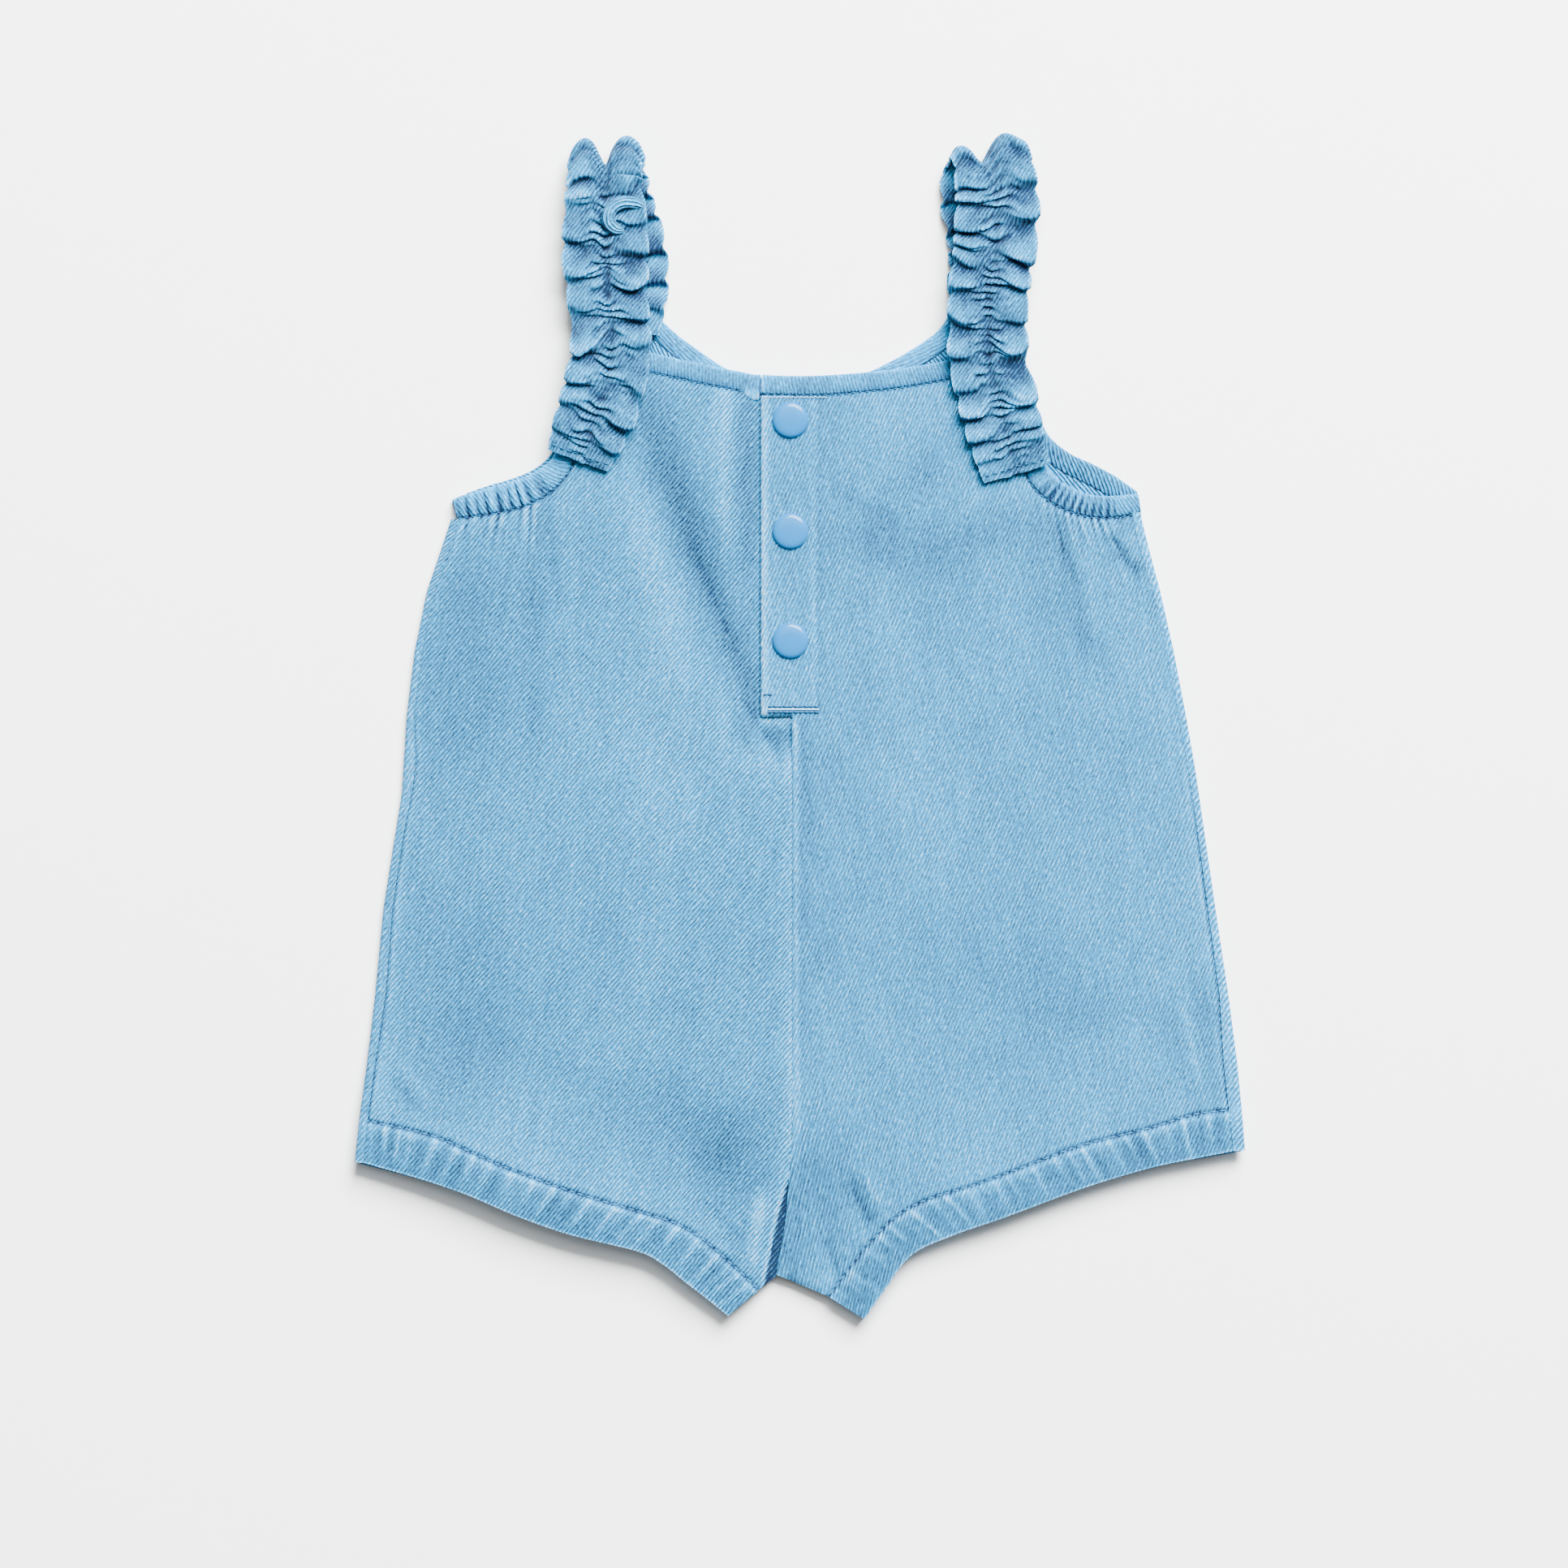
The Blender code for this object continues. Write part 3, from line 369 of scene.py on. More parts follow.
cut = {
    "wall": 1.2,
    "hemWall": 1.8,
    "seam": 0.06,  # space between pieces sewn to each other
    "border": 0.2,  # the same beside a binding
    "centreX": -2.4,
    "crotchY": -182.5,
    "placketFootY": 3.0,
    "underarmDrop": 0.2,
    "centreLine": ((140.0, -2.4), (0.0, -2.4), (-136.0, -2.4), (-163.0, -4.3), (-182.5, -7.6)),  # y, x
    # y, x of the left fold, left seam's inset, x of the right fold, right seam's inset
    "sides": (
        (74.0, -114.2, 2.9, 113.0, 2.9), (69.0, -116.2, 2.9, 113.7, 2.9), (60.0, -119.2, 2.9, 115.9, 2.9),
        (45.0, -124.3, 2.6, 119.9, 2.6), (25.0, -128.4, 2.4, 124.4, 2.4), (4.0, -131.0, 2.5, 128.4, 2.4),
        (-12.0, -132.0, 4.0, 131.2, 2.4), (-22.0, -132.6, 3.4, 132.7, 2.4), (-35.0, -134.7, 2.8, 134.6, 2.4),
        (-60.0, -138.7, 3.0, 138.2, 2.6), (-90.0, -141.6, 3.5, 142.7, 3.1), (-112.0, -144.2, 2.8, 145.5, 4.6),
        (-128.0, -146.4, 2.9, 147.0, 4.4), (-145.0, -148.2, 2.9, 148.3, 3.8),
    ),
    "sideSpace": ((74.0, 1.3), (40.0, 0.6), (-95.0, 0.6), (-125.0, 1.0), (-200.0, 1.0)),  # y, space
    "inseam": {-1: ((-7.6, -182.5), (-13.8, -187.4)), 1: ((-7.6, -182.5), (9.3, -189.6))},
    "stitch": {
        -1: (
            (-13.8, -187.4), (-23.0, -178.7), (-32.4, -170.6), (-41.6, -165.2), (-54.0, -161.2),
            (-76.7, -154.4), (-100.2, -145.8), (-122.3, -136.4), (-145.3, -131.2),
        ),
        1: (
            (9.3, -189.6), (14.6, -182.3), (23.5, -171.2), (30.8, -163.9), (41.3, -157.7), (59.4, -152.0),
            (77.2, -145.5), (95.0, -139.1), (117.5, -133.7), (133.7, -129.1), (146.6, -127.7),
        ),
    },
    "hem": {
        -1: (
            (-24.0, -196.0), (-31.0, -190.3), (-38.6, -184.4), (-45.5, -178.9), (-54.0, -174.4),
            (-76.7, -168.8), (-94.2, -162.8), (-111.8, -155.5), (-127.7, -150.4), (-148.2, -145.0),
        ),
        1: (
            (21.3, -197.1), (28.1, -187.4), (37.0, -175.8), (50.5, -169.3), (68.3, -163.1),
            (95.0, -153.4), (117.5, -146.9), (135.5, -143.4), (148.2, -141.2),
        ),
    },
    # lift of the hems off the table: x, lift
    "hemLift": (
        (-148.0, 2.2), (-110.0, 4.2), (-60.0, 4.2), (-24.0, 1.4), (0.0, 1.0), (21.0, 1.0), (60.0, 2.6),
        (148.0, 1.4),
    ),
    "liftLength": 55.0,
    # twill turned from upright on each side, in degrees, and how far it leans near the crotch
    "grainTurn": {-1: 8.2, 1: -8.2},
    "grainBend": {-1: 0.0, 1: 0.4},
}
necks = {
    "width": 6.3,
    "front": (
        (-67.2, 125.2), (-50.2, 121.2), (-27.5, 116.3), (-13.4, 113.9), (2.7, 113.4),
        (18.0, 114.3), (33.2, 115.9), (49.7, 118.7), (67.4, 122.8),
    ),
    "back": (
        (-50.9, 137.5), (-48.6, 133.4), (-43.4, 128.4), (-38.4, 124.6), (-29.2, 118.2), (-22.6, 114.8),
        (-10.5, 111.6), (0.0, 110.8), (10.5, 111.6), (22.9, 114.8), (30.5, 118.2), (37.4, 122.0),
        (42.4, 125.2), (47.0, 128.6), (50.8, 133.0), (52.6, 137.5),
    ),
}
# armholes from shoulder to underarm: x, y, width of the binding
armholes = {
    ("front", -1): (
        (-71.6, 124.0, 6.5), (-73.0, 112.0, 6.5), (-75.2, 100.0, 6.5), (-77.8, 91.0, 7.0), (-80.8, 85.6, 7.5),
        (-86.8, 80.6, 8.5), (-94.3, 77.3, 9.0), (-104.8, 74.7, 8.2), (-115.0, 72.4, 6.2),
    ),
    ("front", 1): (
        (71.8, 121.6, 6.5), (72.8, 111.0, 6.5), (74.6, 99.0, 6.5), (76.6, 90.0, 7.0), (79.3, 83.8, 7.5),
        (83.8, 79.0, 7.5), (90.5, 75.3, 7.5), (97.5, 73.3, 7.2), (105.0, 73.2, 7.0), (113.0, 74.4, 6.2),
    ),
    ("back", -1): (
        (-66.5, 137.5, 6.0), (-69.5, 125.0, 6.0), (-72.5, 112.0, 6.0), (-75.5, 100.0, 6.5),
        (-78.5, 91.5, 7.0), (-81.5, 86.6, 7.5), (-87.2, 81.6, 8.5), (-94.6, 78.2, 9.0), (-105.0, 75.5, 8.2),
        (-115.2, 72.4, 6.4),
    ),
    ("back", 1): (
        (68.8, 137.5, 6.0), (70.5, 126.0, 6.0), (73.0, 114.0, 6.0), (76.0, 103.5, 6.5), (80.5, 94.5, 6.5),
        (88.0, 88.2, 6.5), (95.5, 84.5, 6.8), (102.5, 80.8, 6.8), (107.5, 77.6, 6.5), (110.9, 75.4, 6.0),
    ),
}
# gathers of each armhole, between two shares of its length; crest is how narrow their ridges are
gathers = {
    -1: {
        "count": 7, "first": 0.65, "last": 0.97, "crest": 0.6,
        "rise": 0.62, "length": 3.6, "lean": 0.004, "seed": 3,
    },
    1: {
        "count": 9, "first": 0.6, "last": 0.87, "crest": 1.3,
        "rise": 0.4, "length": 4.6, "lean": 0.03, "seed": 5,
    },
}
sideWords = {-1: "left", 1: "right"}


def centreX(y):
    return readTable([row[:2] for row in cut["centreLine"]], y)


def sideX(side, y, onSeam):
    # x of the garment's fold on a side, or of the seam just inside it
    column = 1 if side < 0 else 3
    x = readTable(cut["sides"], y, column)
    if onSeam:
        x = x - side * (readTable(cut["sides"], y, column + 1) + cut["seam"])
    return x


def neckEdge(x):
    # y of the fronts' edge, under the neck binding
    line = curveThrough(necks["front"], np.linspace(0, 1, 200))
    return readTable(line, x) - necks["width"] / 2 - cut["border"]


def fourSided(top, bottom, innerLine, outerLine, across, down):
    # Coons patch: rails from top to bottom, bent so that both ends follow the two side lines
    u, v = across[None, :, None], down[:, None, None]
    rails = (1 - v) * top[None] + v * bottom[None]
    innerPull = innerLine[:, None] - (1 - v) * innerLine[0] - v * innerLine[-1]
    outerPull = outerLine[:, None] - (1 - v) * outerLine[0] - v * outerLine[-1]
    return rails + (1 - u) * innerPull + u * outerPull


def panelPlan(side, top, inseamColumns, onSeam, chestShares, bodyShares, hemShares):
    # plan points of a panel in three patches: chest, body down to the leg's stitching, and hem
    columns = len(top) - 1
    shares = np.linspace(0, 1, columns - inseamColumns + 1)
    legLines = []
    for line in (cut["stitch"][side], cut["hem"][side]):
        points = curveThrough(line, shares)
        end = np.array([sideX(side, points[-1, 1], onSeam), points[-1, 1]])
        legLines.append(points + shares[:, None] ** 4 * (end - points[-1]))
    start, stop = (np.array(point) for point in cut["inseam"][side])
    inseam = start + (stop - start) * np.linspace(0, 1, inseamColumns + 1)[:-1, None]
    upper = np.vstack([inseam, legLines[0]])
    lower = np.vstack([np.repeat(legLines[1][:1], inseamColumns, axis=0), legLines[1]])
    reach = np.abs(top[:, 0] - top[0, 0]) / abs(top[-1, 0] - top[0, 0])
    across = 0.5 * reach + 0.5 * np.linspace(0, 1, columns + 1)
    foot = cut["placketFootY"]
    middleX = cut["centreX"] + across * (sideX(side, foot, onSeam) - cut["centreX"])
    middle = np.stack([middleX, np.full(columns + 1, foot)], axis=1)
    chestY = top[0, 1] + (foot - top[0, 1]) * chestShares
    chestSideY = top[-1, 1] + (foot - top[-1, 1]) * chestShares
    chest = fourSided(
        top, middle, np.stack([np.full_like(chestY, cut["centreX"]), chestY], axis=1),
        np.stack([sideX(side, chestSideY, onSeam), chestSideY], axis=1), across, chestShares,
    )
    bodyY = foot + (cut["crotchY"] - foot) * bodyShares
    bodySideY = foot + (upper[-1, 1] - foot) * bodyShares
    body = fourSided(
        middle, upper, np.stack([centreX(bodyY), bodyY], axis=1),
        np.stack([sideX(side, bodySideY, onSeam), bodySideY], axis=1), across, bodyShares,
    )
    hem = (1 - hemShares[:, None, None]) * upper[None] + hemShares[:, None, None] * lower[None]
    plan = np.concatenate([chest, body[1:], hem[1:]])
    hemRow = len(chest) + len(body) - 2
    kept = np.ones((len(plan) - 1, columns), bool)
    kept[hemRow:, :inseamColumns] = False
    return plan, hemRow, lower, kept


def hemLift(plan, lower):
    # the cloth rises off the table towards the leg openings
    drop = np.linalg.norm(plan - lower[None], axis=2)
    return readTable(cut["hemLift"], plan[..., 0]) * smoothStep(drop, cut["liftLength"], 4.0)


def foldHeights(x, y, folds, sharp=False):
    # sum of ridges and troughs along straight lines: a bell across, or a cusp if sharp, fading past both ends
    height = np.zeros_like(x)
    for startX, startY, endX, endY, halfWidth, rise in folds:
        run = math.hypot(endX - startX, endY - startY)
        along = ((x - startX) * (endX - startX) + (y - startY) * (endY - startY)) / run
        off = ((x - startX) * (endY - startY) - (y - startY) * (endX - startX)) / run / halfWidth
        fade = smoothStep(along, -0.25 * run, 0.25 * run) * smoothStep(along, 1.25 * run, 0.75 * run)
        height += rise * fade * (np.exp(-np.abs(off) * 1.4) if sharp else np.exp(-(off**2)))
    return height


def grainMap(side, x, y):
    # cloth coordinates of plan points: turned with the panel, and bent near the crotch
    angle = math.radians(cut["grainTurn"][side])
    low = np.maximum(-110.0 - y, 0)
    bend = np.where(low < 40, low**2 / 80, low - 20) * bell(x - cut["centreX"], 45)
    v = y + cut["grainBend"][side] * bend
    return turned(x, v, angle)


def gatherNumber(look, share):
    # gathers counted along the armhole, from 0 at the first one's crest
    return (share - look["first"]) / (look["last"] - look["first"]) * look["count"]


def crested(number, look):
    # 1 at each whole number and -1 halfway: twice the size of the cosine, to a power, less one
    return 2 * np.abs(np.cos(np.pi * number)) ** look["crest"] - 1


def gatherWave(share, fall, look):
    # gathers uneven in height and length, fading below the binding
    number = gatherNumber(look, share) - fall * look["lean"]
    number = number + 0.3 * softNoise(number, fall / 9.0, 1.4, look["seed"])
    draw = np.random.default_rng(look["seed"])
    marks = np.arange(-2, look["count"] + 3)
    rises = np.interp(number, marks, draw.uniform(0.15, 1.2, len(marks)))
    lengths = np.interp(number, marks, draw.uniform(0.5, 2.1, len(marks)) ** 1.4) * look["length"]
    zone = smoothStep(number, -0.9, 0.1) * smoothStep(number, look["count"] + 0.9, look["count"] - 0.1)
    return rises * crested(number, look) * zone * np.exp(-((fall / lengths) ** 1.4))


# Front panels


front = {
    "rise": 1.3,
    "leastSpace": 0.4,
    "underlapLow": 1.9,
    "overlapLow": 3.4,
    "placketEdgeX": -13.2,
    "underlapEdgeX": 6.5,
    "facingX": 5.4,
    # columns of the grid along the neck, the crotch seam and the layer past the centre
    "neckColumns": 62,
    "inseamColumns": 9,
    "layerColumns": 20,
    # soft folds: start x, start y, end x, end y, half width, height; the first rows are the solid's own
    "folds": {
        -1: (
            (-45.0, 90.0, -17.0, 14.0, 11.0, -0.95), (-58.0, 76.0, -34.0, 4.0, 10.0, 0.7),
            (-96.0, 62.0, -104.0, 20.0, 6.0, 0.6), (-20.0, 4.0, -8.0, -14.0, 5.0, -0.25),
            (-40.0, -20.0, -60.0, -120.0, 16.0, 0.6), (-100.0, -40.0, -112.0, -125.0, 12.0, -0.6),
            (-13.0, -156.0, -16.0, -182.0, 3.5, 0.7), (-27.0, -138.0, -27.0, -162.0, 9.0, -0.3),
        ),
        1: (
            (47.0, 92.0, 22.0, 62.0, 9.0, -0.5), (96.0, 62.0, 88.0, 24.0, 6.0, 0.5),
            (28.0, 40.0, 40.0, -60.0, 14.0, 0.5), (128.0, -90.0, 133.0, -120.0, 4.0, 0.8),
            (17.0, -150.0, 24.0, -167.0, 4.0, -0.4), (70.0, -20.0, 84.0, -110.0, 14.0, -0.6),
        ),
    },
    # finer creases of the same kind, pressed in the wash or pulled by a seam
    "creases": {
        -1: (
            (-20.0, 10.0, -8.0, -8.0, 1.8, -0.28), (-24.0, 20.0, -12.0, -14.0, 2.2, 0.22),
            (-16.0, 2.0, -5.0, -20.0, 1.5, 0.2), (-7.0, -4.0, -5.0, -34.0, 1.6, -0.18),
            (-8.0, -40.0, -14.0, -62.0, 2.4, -0.15), (-36.0, 60.0, -22.0, 26.0, 2.6, -0.3),
            (-106.5, 68.0, -109.6, 62.0, 1.1, 0.35), (-103.2, 70.0, -103.0, 65.0, 1.0, 0.3),
            (-99.0, 69.0, -98.6, 65.5, 1.0, 0.3), (-87.4, 74.0, -87.4, 60.0, 1.2, -0.4),
            (-84.0, 72.0, -80.0, 40.0, 2.6, -0.25), (-96.0, 62.0, -101.0, 30.0, 3.0, -0.2),
            (-36.0, -168.0, -22.0, -176.0, 1.5, 0.2), (-30.0, -160.0, -18.0, -172.0, 1.6, -0.2),
            (-136.0, -116.0, -127.0, -128.0, 2.2, -0.3), (-132.0, -113.0, -123.0, -125.0, 2.0, 0.2),
        ),
        1: (
            (17.0, -154.0, 24.5, -165.0, 1.6, -0.26), (20.0, -148.0, 28.0, -161.0, 1.8, 0.2),
            (9.0, -170.0, 13.0, -183.0, 1.6, -0.4), (127.0, -92.0, 133.0, -120.0, 1.4, 0.25),
            (88.4, 71.6, 91.0, 60.0, 1.1, 0.45), (92.9, 68.9, 97.2, 58.8, 1.1, 0.5),
            (85.6, 70.0, 88.0, 52.0, 1.4, -0.35), (102.3, 69.5, 103.0, 64.0, 0.9, 0.4),
            (103.0, 63.0, 108.5, 57.0, 1.5, -0.5), (106.0, 60.0, 113.0, 48.0, 2.0, -0.25),
            (1.0, -6.0, 4.0, -40.0, 1.8, -0.14), (12.0, 78.0, 38.0, 66.0, 3.0, -0.14),
            (66.0, 84.0, 46.0, 62.0, 2.8, 0.16), (84.1, 69.0, 91.0, 49.0, 2.0, -0.3),
            (105.0, 57.5, 113.5, 51.5, 1.8, -0.28),
        ),
    },
    # broad drapes painted into the colour as light and shade: the same rows, with the depth of their painted
    # tone
    "shades": {
        -1: (
            (-54.0, 112.0, -42.0, 82.0, 8.5, -0.85), (-42.0, 82.0, -28.6, 47.0, 8.0, -0.9),
            (-28.6, 47.0, -16.7, 12.0, 6.0, -0.75), (-16.7, 12.0, -3.0, -9.5, 4.0, -0.35),
            (-21.0, 104.0, -19.0, 44.0, 4.5, -0.4),
            (-104.0, 62.0, -112.0, -20.0, 17.0, -0.4), (-87.0, 58.0, -89.0, -10.0, 4.0, -0.25),
            (-118.0, -60.0, -112.0, -126.0, 18.0, -0.3), (-52.0, -122.0, -14.0, -142.0, 15.0, -0.3),
            (-27.0, -126.0, -25.0, -152.0, 14.0, -0.22), (-60.0, 60.0, -50.0, -30.0, 18.0, 0.15),
        ),
        1: (
            (14.6, 79.6, 28.0, 58.0, 10.0, -0.3), (9.0, 60.0, 42.0, 55.0, 9.0, -0.4),
            (44.0, 57.0, 80.0, 71.0, 8.0, -0.4), (84.0, 64.0, 92.0, 20.0, 10.0, -0.25),
            (70.0, -82.0, 100.0, -100.0, 15.0, -0.25), (4.0, -140.0, 14.0, -180.0, 9.0, -0.25),
            (0.0, -10.0, 6.0, -80.0, 12.0, -0.15), (136.0, -84.0, 142.0, -128.0, 9.0, -0.35),
            (52.0, 96.0, 40.0, 30.0, 9.0, -0.2), (84.1, 68.0, 91.6, 48.0, 2.6, -0.5),
            (91.6, 50.0, 95.0, 26.0, 3.4, -0.4), (102.5, 63.0, 105.5, 56.0, 2.2, -0.4),
            (105.5, 57.0, 114.0, 51.5, 2.4, -0.5), (96.5, 56.0, 98.0, 32.0, 3.4, 0.35),
        ),
    },
    # the pleat beside the crotch: y, x of its fold
    "tuck": ((-147.0, -3.0), (-162.0, -7.4), (-180.4, -11.1), (-190.0, -12.9)),
    "hemPucker": {"spacing": (3.8, 9.5), "crest": 0.8, "slant": 2.6, "rise": 0.38, "above": 2.2},
    # width, length and height of the cloth's unevenness
    "ripple": ((16.0, 26.0, 0.08), (7.0, 11.0, 0.035), (2.8, 3.4, 0.03)),
    # relief height to one unit of tone, for painted light and shade and rubbed ridges
    "wearAndShadeScale": 0.32,
}


def unevenness(x, y, seed):
    # soft lumps of the cloth, three sizes of noise added up
    return sum(
        height * softNoise(x / width, y / length, 1.0, seed + index)
        for index, (width, length, height) in enumerate(front["ripple"])
    )


def hemPuckers(plan, hemRow, hemShares, seed):
    # thin crests across the turned-up hem, unevenly spaced, with broad troughs of uneven depth between
    # them; they lean a little and die out just above the stitching
    look = front["hemPucker"]
    draw = np.random.default_rng(seed)
    run = runAlong(plan[hemRow])
    share = np.zeros(len(plan))
    share[hemRow:] = hemShares
    above = np.linalg.norm(plan - plan[hemRow][None], axis=2)
    above[hemRow:] = 0
    fade = np.exp(-above / look["above"]) * np.where(np.arange(len(plan)) < hemRow, 0.45, 1.0)[:, None]
    gaps = draw.uniform(*look["spacing"], 34)
    marks = np.cumsum(gaps) - gaps[0] + 2.0
    lean = (run[None] + look["slant"] * share[:, None] * softNoise(run, 0.0, 14.0, seed)[None])[..., None]
    lengths = draw.uniform(0.7, 1.5, len(marks))
    fall = smoothStep(share[:, None, None], lengths, lengths - 0.5)
    crests = draw.uniform(0.3, 1.0, len(marks)) * fall * bell(lean - marks, look["crest"])
    troughs = draw.uniform(0.1, 1.0, len(marks)) * bell(lean - marks - gaps / 2, gaps * 0.34)
    height = crests.sum(axis=2) - 0.8 * troughs.sum(axis=2) * (1 - 0.5 * share[:, None])
    return look["rise"] * height * fade * (1 - 0.5 * share[:, None] ** 4)


def frontPanel(side):
    armhole = armholes[("front", side)]
    look = gathers[side]
    corner = necks["front"][0 if side < 0 else -1][0]
    neckX = cut["centreX"] + (corner - cut["centreX"]) * np.linspace(0, 1, front["neckColumns"]) ** 1.3
    # each gather takes eight columns
    share = np.concatenate([
        np.linspace(0, look["first"], 26)[1:-1],
        np.linspace(look["first"], look["last"], 8 * look["count"] + 1), np.linspace(look["last"], 1, 7)[1:],
    ])
    line = curveThrough(armhole, share)
    arm = sideways(line, -side * (line[:, 2] / 2 + cut["border"]))
    arm[-1, 1] -= cut["underarmDrop"] / 2
    arm[-1, 0] = sideX(side, arm[-1, 1], True)
    top = np.vstack([np.stack([neckX, neckEdge(neckX)], axis=1), arm])
    share = np.concatenate([np.full(len(neckX), -1.0), share])

    chestShares = np.concatenate([np.linspace(0, 0.24, 40)[:-1], np.linspace(0.24, 1, 70)])
    bodyShares = np.concatenate([np.linspace(0, 0.984, 116)[:-1], np.linspace(0.984, 1, 6)])
    hemShares = np.linspace(0, 1, 18)
    plan, hemRow, lower, kept = panelPlan(
        side, top, front["inseamColumns"], True, chestShares, bodyShares, hemShares
    )
    x, y = plan[..., 0].copy(), plan[..., 1].copy()
    lift = hemLift(plan, lower)
    inHem = smoothStep(np.arange(len(plan)), hemRow - 0.5, hemRow + 2.0)[:, None]
    wall = cut["wall"] + (cut["hemWall"] - cut["wall"]) * inHem + np.zeros_like(x)

    # lower face on the solid's own form: spaced over the back, raised in the middle, folded and gathered
    reach = np.clip((x - centreX(y)) / (sideX(side, y, True) - centreX(y)), 0, 1)
    backTop = lift + wall
    low = backTop + readTable(cut["sideSpace"], y)
    low += front["rise"] * (1 - reach**2) * smoothStep(y, cut["crotchY"] - 10, -110.0)
    low += foldHeights(x, y, front["folds"][side]) * (1 - reach**6)
    fall = np.maximum(plan[:1, :, 1] - y, 0)
    gather = gatherWave(share[None], fall, look)
    low += look["rise"] * gather
    low = np.maximum(low, backTop + front["leastSpace"])
    near = smoothStep(y, -14.0, cut["placketFootY"] - 1.0)
    if side < 0:
        level = smoothStep(x, -27.0, -14.5) * near
        low += level * (front["underlapLow"] - low)
    else:
        level = smoothStep(x, 24.0, front["underlapEdgeX"] + 1.5) * near
        low += level * (front["overlapLow"] - low)

    # fine relief on top
    relief = foldHeights(x, y, front["creases"][side], True)
    relief += unevenness(x, y, 10 + side)
    puckers = hemPuckers(plan, hemRow, hemShares, 20 + side)
    relief += puckers
    stitchOff = np.linalg.norm(plan - plan[hemRow][None], axis=2)
    relief -= 0.3 * bell(stitchOff, 0.6)
    seamOff = np.abs(x - centreX(y))
    below = smoothStep(y, cut["placketFootY"] + 0.5, cut["placketFootY"] - 1.5)
    seamWearAndShade = np.zeros_like(x)
    firstColumn = np.arange(plan.shape[1]) == 0
    if side > 0:  # the right front laps the left by a hair, with a pressed ridge along its edge
        low += below * 0.5 * bell(seamOff, 1.6)
        relief += below * (0.05 * bell(seamOff - 1.2, 0.8) - 0.5 * bell(seamOff, 0.4))
        seamWearAndShade += below * (0.3 * bell(seamOff, 0.6) - 0.12 * bell(seamOff - 2.2, 1.0))
        plan[..., 0] -= 0.4 * (below * firstColumn[None])
        plan[..., 0] += cut["seam"] / 2 * ((1 - below) * firstColumn[None])
    else:
        relief -= below * 0.2 * np.exp(-seamOff / 1.2)
        # painted shade beside the seam, under the edge of the right front's lap
        seamWearAndShade -= below * 0.45 * bell(seamOff, 2.2)
        # the cloth rises to meet the foot of the placket
        relief += 0.5 * smoothStep(y, -3.5, 1.2) * smoothStep(y, 4.6, 2.6) * smoothStep(x, -16.0, -12.5)
        foldX = readTable(front["tuck"], y)
        tucked = smoothStep(x - foldX, -0.1, 0.7) * smoothStep(y, -147.0, -153.0)
        relief -= 0.75 * tucked
        ridge = bell(x - foldX + 0.7, 0.7) * smoothStep(y, -147.0, -156.0)
        relief += 0.12 * ridge
        # painted shadow in the tuck, cast by its ridge, and painted light on the ridge
        seamWearAndShade += 0.2 * ridge - 1.5 * tucked
        plan[..., 0] -= cut["seam"] / 2 * firstColumn[None]
    # the cloth dips into the seam under each binding, with painted shade in the dip
    topDrop = np.abs(plan[:1, :, 1] - y)
    relief -= np.where(share[None] < 0, 0.12, 0.35) * bell(topDrop, 0.8)
    seamWearAndShade -= np.where(share[None] < 0, 0.4 * bell(topDrop, 1.0), 0.9 * bell(topDrop, 1.3))
    # the side seam: a pale pressed ridge just inside its dark line, plainer towards the top
    sideOff = np.abs(sideX(side, y, True) - x)
    plain = (0.25 + 0.75 * smoothStep(y, 25.0, -70.0)) * (1 - 0.8 * inHem)
    relief -= 0.4 * plain * bell(sideOff, 0.5)
    seamWearAndShade += plain * (0.3 * bell(sideOff - 1.3, 0.7) - 0.5 * bell(sideOff, 0.6))
    # painted light and painted shade of the broad drapes
    seamWearAndShade += foldHeights(x, y, front["shades"][side])

    # the layer of the placket that runs on past the centre
    edgeX = front["underlapEdgeX"] if side < 0 else front["placketEdgeX"]
    layerColumns = front["layerColumns"]
    part = np.linspace(0, 1, layerColumns + 1)[:-1] ** 1.3
    layer = np.zeros((len(plan), layerColumns, 2))
    layer[..., 0] = edgeX + (plan[:, :1, 0] - edgeX) * part[None]
    layer[..., 1] = plan[:, :1, 1]
    flat = layer[..., 0]
    layerLow = np.full(layer.shape[:2], front["underlapLow"] if side < 0 else front["overlapLow"])
    # its edge is rounded off
    layerRelief = unevenness(flat, layer[..., 1], 10 + side) - 0.75 * np.exp(-np.abs(flat - edgeX) / 0.45)
    if side > 0:  # and so is the folded foot of the placket
        layerRelief -= 0.6 * np.exp(-np.abs(layer[..., 1] - cut["placketFootY"]) / 0.5)
    plan = np.concatenate([layer, plan], axis=1)
    low = np.concatenate([layerLow, low], axis=1)
    wall = np.concatenate([wall[:, :layerColumns], wall], axis=1)
    relief = np.concatenate([layerRelief, relief], axis=1)
    layerKept = np.zeros((kept.shape[0], layerColumns), bool)
    layerKept[: len(chestShares) - 1] = True
    kept = np.concatenate([layerKept, kept], axis=1)
    if side > 0:  # the facing under the overlap ends in a faint step
        facing = smoothStep(plan[..., 0], front["facingX"] + 0.5, front["facingX"] - 0.5)
        relief += 0.22 * facing * smoothStep(plan[..., 1], 2.0, 4.0)

    height = low + relief
    # tone from the relief: painted light on ridges and lumps, where they also rub pale, and painted shade in
    # hollows and creases
    wearAndShade = (height - blurred(height, 26)) / front["wearAndShadeScale"]
    gatherAll = np.concatenate([np.zeros_like(flat), gather], axis=1)
    # painted light on gather and hem pucker crests, painted shade in their troughs, and the seams' and drapes'
    # painted light and shade
    wearAndShade += 0.8 * gatherAll + np.concatenate([np.zeros_like(flat), seamWearAndShade + 0.65 * puckers], axis=1)
